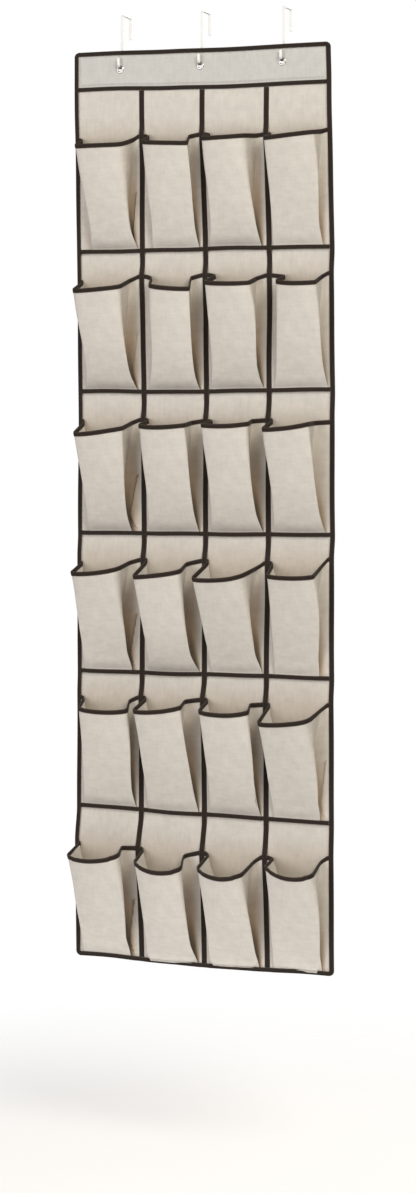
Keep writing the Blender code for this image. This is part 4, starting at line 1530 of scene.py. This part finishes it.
# Points of the folded tapes' sections that the stitches press down, at the front and behind
EDGE_DIPS = (3, 14)
MOUTH_DIPS = (2, 14)
flat_lines = []
rear_lines = []
for _, lines, sideways, width in flat_kinds:
    for line in lines:
        behind = place(line[:, 0], -CLOTH, line[:, 2])
        for edge in (-1, 1):
            distance = edge * (width / 2 - STITCH_INSET * MM)
            flat_lines.append(shifted(line, sideways, distance, OUT, STITCH_DIP * MM))
            rear_lines.append(shifted(behind, sideways, distance, -OUT, 0))
edge_ring = np.concatenate([outline, outline[:1]])
edge_inward = np.concatenate([inward, inward[:1]])
edge_lift = np.concatenate([lift, lift[:1]])[:, None] * MM
(front_in, front_out), (rear_in, rear_out) = np.array([EDGE_SECTION[dip] for dip in EDGE_DIPS]) * MM
edge_front = edge_ring + edge_inward * front_in + OUT * (front_out + edge_lift)
edge_rear = edge_ring + edge_inward * rear_in + OUT * rear_out
edge_lines = [(edge_front, directions(edge_front, OUT)), (edge_rear, directions(edge_rear, -OUT))]
(front_out, front_down), (inside_out, inside_down) = np.array([MOUTH_SECTION[dip] for dip in MOUTH_DIPS]) * MM
mouth_front = []
mouth_inside = []
for rim, outward, down in mouth_lines:
    mouth_front.append((rim + outward * front_out + down * front_down, outward))
    mouth_inside.append((rim + outward * inside_out + down * inside_down, -outward))
stitching = [sew("seam_stitches", flat_lines), sew("rear_seam_stitches", rear_lines),
             sew("edge_stitches", edge_lines), sew("mouth_stitches", mouth_front + mouth_inside)]

# %% [markdown]
# ## Eyelets
# An eyelet is a flanged nickel tube pushed through the header from the front and rolled over a washer behind.
# A turned profile gives the rounded flange, the bore and the rolled curl, with many more steps than the CAD
# ring because these small bright rings catch every reflection.

# %% Eyelets and washers
EYELET_PROFILE = (
    (4.0, 2.6), (4.05, 3.15), (4.25, 3.5), (4.6, 3.68), (5.1, 3.74), (5.8, 3.7), (6.5, 3.54), (7.0, 3.3),
    (7.22, 3.08), (7.25, 2.92), (7.0, 2.9), (4.9, 2.9), (4.5, 2.7), (4.5, -1.7), (4.7, -1.85), (5.2, -1.9),
    (5.6, -2.0), (5.7, -2.2), (5.55, -2.38), (5.1, -2.45), (4.5, -2.4), (4.1, -2.15), (4.0, -1.8),
)
WASHER_PROFILE = (
    (4.8, -1.12), (7.1, -1.12), (7.25, -1.2), (7.2, -1.35), (6.9, -1.5), (6.3, -1.58), (5.4, -1.62),
    (4.85, -1.6),
)
# Points of the profiles that get rubbed, and those in the bore, which get painted shade
EYELET_EDGES = (3, 4, 5)
EYELET_BORE = (0, 20, 21, 22)
WASHER_EDGES = (2, 3)


def turned(name, profile, node, edges, bore=()):
    """A ring turned round the axis of an eyelet, from (radius, forward) points in mm."""
    profile = np.asarray(profile) * MM
    angles = 2 * np.pi * np.arange(ROUND_STEPS) / ROUND_STEPS
    radius = profile[None, :, 0]
    points = place(middle(node, 0) + np.cos(angles)[:, None] * radius, profile[None, :, 1],
                   middle(node, 2) + np.sin(angles)[:, None] * radius)
    row, column = grid_corners(ROUND_STEPS, len(profile), ring_rows=True, ring_columns=True)
    faces = ((row % ROUND_STEPS) * len(profile) + column % len(profile)).tolist()
    uvs = np.stack([row * 0.5 * MM, column * 0.5 * MM], axis=-1)
    mesh = make_mesh(name, points, faces, uvs, nickel)
    # The bore points carry the painted shade mark
    for label, marked_points in (("edge", edges), ("painted_shade", bore)):
        mark_points(mesh, label, np.tile(np.isin(np.arange(len(profile)), marked_points), ROUND_STEPS))
    face_outward(mesh)
    return make_piece(mesh, [node])


for side in SIDES:
    turned(f"eyelet_ring_{side}", EYELET_PROFILE, f"eyelet_{side}", EYELET_EDGES, EYELET_BORE)
    turned(f"eyelet_backing_{side}", WASHER_PROFILE, f"eyelet_washer_{side}", WASHER_EDGES)
print("eyelets turned in", ROUND_STEPS, "steps")

# %% [markdown]
# ## Door hooks
# Each hook is a steel strap, bent over the door and curled into an open cradle at the front. Bending a strap
# is another sweep: its section stays square to a path of straight legs and round bends, and the ends taper
# off. The coat is rubbed at the strap's corners, and the bottom of the cradle is painted dark, partly as coat
# worn through to steel and partly as painted shade.

# %% Hooks
STRAP_WIDTH = 5.0
STRAP_THICKNESS = 1.5
STRAP_CORNER = 0.4
CRADLE_RADIUS = 9 * MM
BRIDGE_BEND = 2.5 * MM
TIP_RISE = 10 * MM
REAR_LEG = 38 * MM
END_WIDTH = 0.35
# How strongly the points round each corner of the strap are rubbed
CORNER_RUB = (0.2, 0.8, 1.0, 0.8, 0.2)
# How strongly the cradle's bottom is darkened as worn coat and painted shade, up to what height, and over
# what height that begins
CRADLE_WEAR_AND_SHADE = 8
WORN_AND_SHADED_HEIGHT = 5 * MM
WORN_AND_SHADED_FADE = 3 * MM


def strap_section(width):
    """Rounded rectangle: (out, across) in mm."""
    half_width = width / 2 - STRAP_CORNER
    half_thick = STRAP_THICKNESS / 2 - STRAP_CORNER
    corners = ((half_thick, half_width, 0), (-half_thick, half_width, 90),
               (-half_thick, -half_width, 180), (half_thick, -half_width, 270))
    points = []
    for out, across, start in corners:
        for angle in np.radians(start + np.linspace(0, 90, len(CORNER_RUB))):
            points.append((out + STRAP_CORNER * math.cos(angle), across + STRAP_CORNER * math.sin(angle)))
    return np.array(points)


def arc(y, z, radius, start, end, steps):
    angles = np.radians(np.linspace(start, end, steps))
    return np.stack([0 * angles, y + radius * np.cos(angles), z + radius * np.sin(angles)], axis=-1)


def hook_path(low, high):
    """Centre line of the strap, from the rear leg's end over the door to the upturned tip."""
    half = STRAP_THICKNESS * MM / 2
    leg_y = high.y - half
    bridge_z = high.z - half
    tip_y = low.y + half
    cradle_y = tip_y + CRADLE_RADIUS
    cradle_z = low.z + half + CRADLE_RADIUS
    rear_end = np.array((0, leg_y, -REAR_LEG))
    rear_top = np.array((0, leg_y, bridge_z - BRIDGE_BEND))
    tip = np.array((0, tip_y, cradle_z + TIP_RISE))
    over_rear = arc(leg_y - BRIDGE_BEND, bridge_z - BRIDGE_BEND, BRIDGE_BEND, 0, 90, 11)
    over_front = arc(-leg_y + BRIDGE_BEND, bridge_z - BRIDGE_BEND, BRIDGE_BEND, 90, 180, 11)
    cradle = arc(cradle_y, cradle_z, CRADLE_RADIUS, 0, -180, 41)
    return np.concatenate([
        rear_end[None], between(rear_end, rear_top, 24), over_rear, between(over_rear[-1], over_front[0], 8),
        over_front, between(over_front[-1], cradle[0], 30), cradle, between(cradle[-1], tip, 12), tip[None],
    ])


def make_hook(side):
    node = f"door_hook_{side}"
    path = hook_path(*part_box(node)) + np.array((middle(node, 0), 0, 0))
    along = unit(np.gradient(path, axis=0))
    out = np.stack([0 * along[:, 0], -along[:, 2], along[:, 1]], axis=-1)
    length = run_length(path)
    to_end = np.minimum(length, length[-1] - length) / (STRAP_WIDTH / 2 * MM)
    width = END_WIDTH + (1 - END_WIDTH) * np.sqrt(1 - (1 - np.clip(to_end, 0, 1)) ** 2)
    sections = np.stack([strap_section(STRAP_WIDTH * share) for share in width]) * MM
    points = path[:, None] + out[:, None] * sections[..., :1] + RIGHT * sections[..., 1:]
    corners = sections.shape[1]
    row, column = grid_corners(len(path), corners, ring_columns=True)
    faces = (row * corners + column % corners).tolist()
    uvs = np.stack([length[row], column * 0.5 * MM], axis=-1).reshape(-1, 2).tolist()
    faces, uvs = closed_ends(faces, uvs, len(path), corners)
    mesh = make_mesh(node.replace("hook", "hook_strap"), points, faces, uvs, white_coat)
    # The cradle's bottom is painted dark, partly as worn coat and partly as painted shade
    worn = CRADLE_WEAR_AND_SHADE * ease(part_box(node)[0].z + WORN_AND_SHADED_HEIGHT - path[:, 2], 0, WORN_AND_SHADED_FADE)
    mark_points(mesh, "edge", np.maximum(np.tile(CORNER_RUB, 4)[None, :], worn[:, None]))
    face_outward(mesh)
    return make_piece(mesh, [node], body="door_hooks")


for side in SIDES:
    make_hook(side)
print("hooks bent from strap", STRAP_WIDTH, "by", STRAP_THICKNESS, "mm")

# %% [markdown]
# ## Pocket cloth
# A pocket's cut is as wide as its open mouth is round, because the pleats only hide that width lower down.
# The loop below only looks up each pocket's grid.

# %% Looking up the pocket grids
for key, piece in pocket_pieces.items():
    grid = pocket_grids[key]

# %% [markdown]
# ## Stage and light
# The photograph is a catalogue picture on pure white. A pale round floor fades out at its rim, so that no
# horizon cuts through the picture, and the world is white to the camera but dimmer as a light source.
# A large soft key lamp stands at the front left, which leaves the right-hand gussets in soft shade. A low
# lamp in front stands for light that bounces off a floor, a warm one at the upper right fills the shade,
# and one behind lights the rear of the panel.

# %% Floor
FLOOR_Z = -2.032
FLOOR_RADIUS = 1.5
FLOOR_COLOUR = (0.89, 0.9, 0.92, 1)
FLOOR_GLOW = 0.22
FADE_START = 0.25
FADE_END = 0.95 * FLOOR_RADIUS


def make_floor():
    disc = bmesh.new()
    bmesh.ops.create_circle(disc, cap_ends=True, segments=96, radius=FLOOR_RADIUS)
    mesh = bpy.data.meshes.new("floor")
    disc.to_mesh(mesh)
    disc.free()
    material, shader = new_material("pale_floor", 0.9, specular_ior_level=0.1)
    shader.inputs["Base Color"].default_value = FLOOR_COLOUR
    shader.inputs["Emission Color"].default_value = (1, 1, 1, 1)
    shader.inputs["Emission Strength"].default_value = FLOOR_GLOW
    tree = material.node_tree
    away = tree.nodes.new("ShaderNodeVectorMath")
    away.operation = "LENGTH"
    tree.links.new(on_object(tree), away.inputs[0])
    fade = tree.nodes.new("ShaderNodeMapRange")
    fade.interpolation_type = "SMOOTHSTEP"
    for label, value in (("From Min", FADE_START), ("From Max", FADE_END), ("To Min", 1), ("To Max", 0)):
        fade.inputs[label].default_value = value
    tree.links.new(away.outputs["Value"], fade.inputs["Value"])
    above = calculate(tree, "SUBTRACT", 1.0, tree.nodes.new("ShaderNodeNewGeometry").outputs["Backfacing"])
    tree.links.new(calculate(tree, "MULTIPLY", fade.outputs["Result"], above), shader.inputs["Alpha"])
    mesh.materials.append(material)
    floor = bpy.data.objects.new("floor", mesh)
    floor.location.z = FLOOR_Z
    scene.collection.objects.link(floor)


make_floor()
print("floor at", FLOOR_Z, "m")

# %% World and lamps
# Name, direction from the panel, distance in metres, size, power and colour
LAMPS = (
    ("key", (-0.39, -0.92, 0.12), 4.5, (2.6, 2.6), 69, (0.99, 1.0, 1.04)),
    ("bounce", (0.15, -0.93, -0.15), 4.5, (2.6, 1.4), 24, (1, 1, 1)),
    ("fill", (0.67, -0.66, 0.58), 5.0, (2.4, 2.4), 133, (1.0, 0.975, 0.88)),
    ("rear", (0.3, 0.9, 0.3), 4.5, (2.0, 2.0), 90, (1, 1, 1)),
)
WORLD_STRENGTH = 0.34
WORLD_COLOUR = (1.0, 0.91, 0.79)


def make_world(strength, colour):
    world = bpy.data.worlds.new("studio")
    world.use_nodes = True
    scene.world = world
    tree = world.node_tree
    tree.nodes.clear()
    seen = tree.nodes.new("ShaderNodeBackground")
    seen.inputs["Color"].default_value = (1, 1, 1, 1)
    seen.inputs["Strength"].default_value = 1
    light = tree.nodes.new("ShaderNodeBackground")
    light.inputs["Color"].default_value = (*colour, 1)
    light.inputs["Strength"].default_value = strength
    choose = tree.nodes.new("ShaderNodeMixShader")
    tree.links.new(tree.nodes.new("ShaderNodeLightPath").outputs["Is Camera Ray"], choose.inputs["Fac"])
    tree.links.new(light.outputs["Background"], choose.inputs[1])
    tree.links.new(seen.outputs["Background"], choose.inputs[2])
    end = tree.nodes.new("ShaderNodeOutputWorld")
    tree.links.new(choose.outputs["Shader"], end.inputs["Surface"])


def make_lamp(name, direction, distance, size, power, colour):
    """A soft rectangular lamp that faces the middle of the panel."""
    target = Vector((0, FACE_Y, (panel_low.z + panel_high.z) / 2))
    toward = Vector(direction).normalized()
    lamp = bpy.data.objects.new(name, bpy.data.lights.new(name, "AREA"))
    lamp.data.shape = "RECTANGLE"
    lamp.data.size, lamp.data.size_y = size
    lamp.data.energy = power
    lamp.data.color = colour
    lamp.location = target + toward * distance
    lamp.rotation_euler = (-toward).to_track_quat("-Z", "Y").to_euler()
    scene.collection.objects.link(lamp)


make_world(WORLD_STRENGTH, WORLD_COLOUR)
for lamp in LAMPS:
    make_lamp(*lamp)
scene.view_settings.view_transform = "Standard"
print("lamps:", [lamp[0] for lamp in LAMPS])
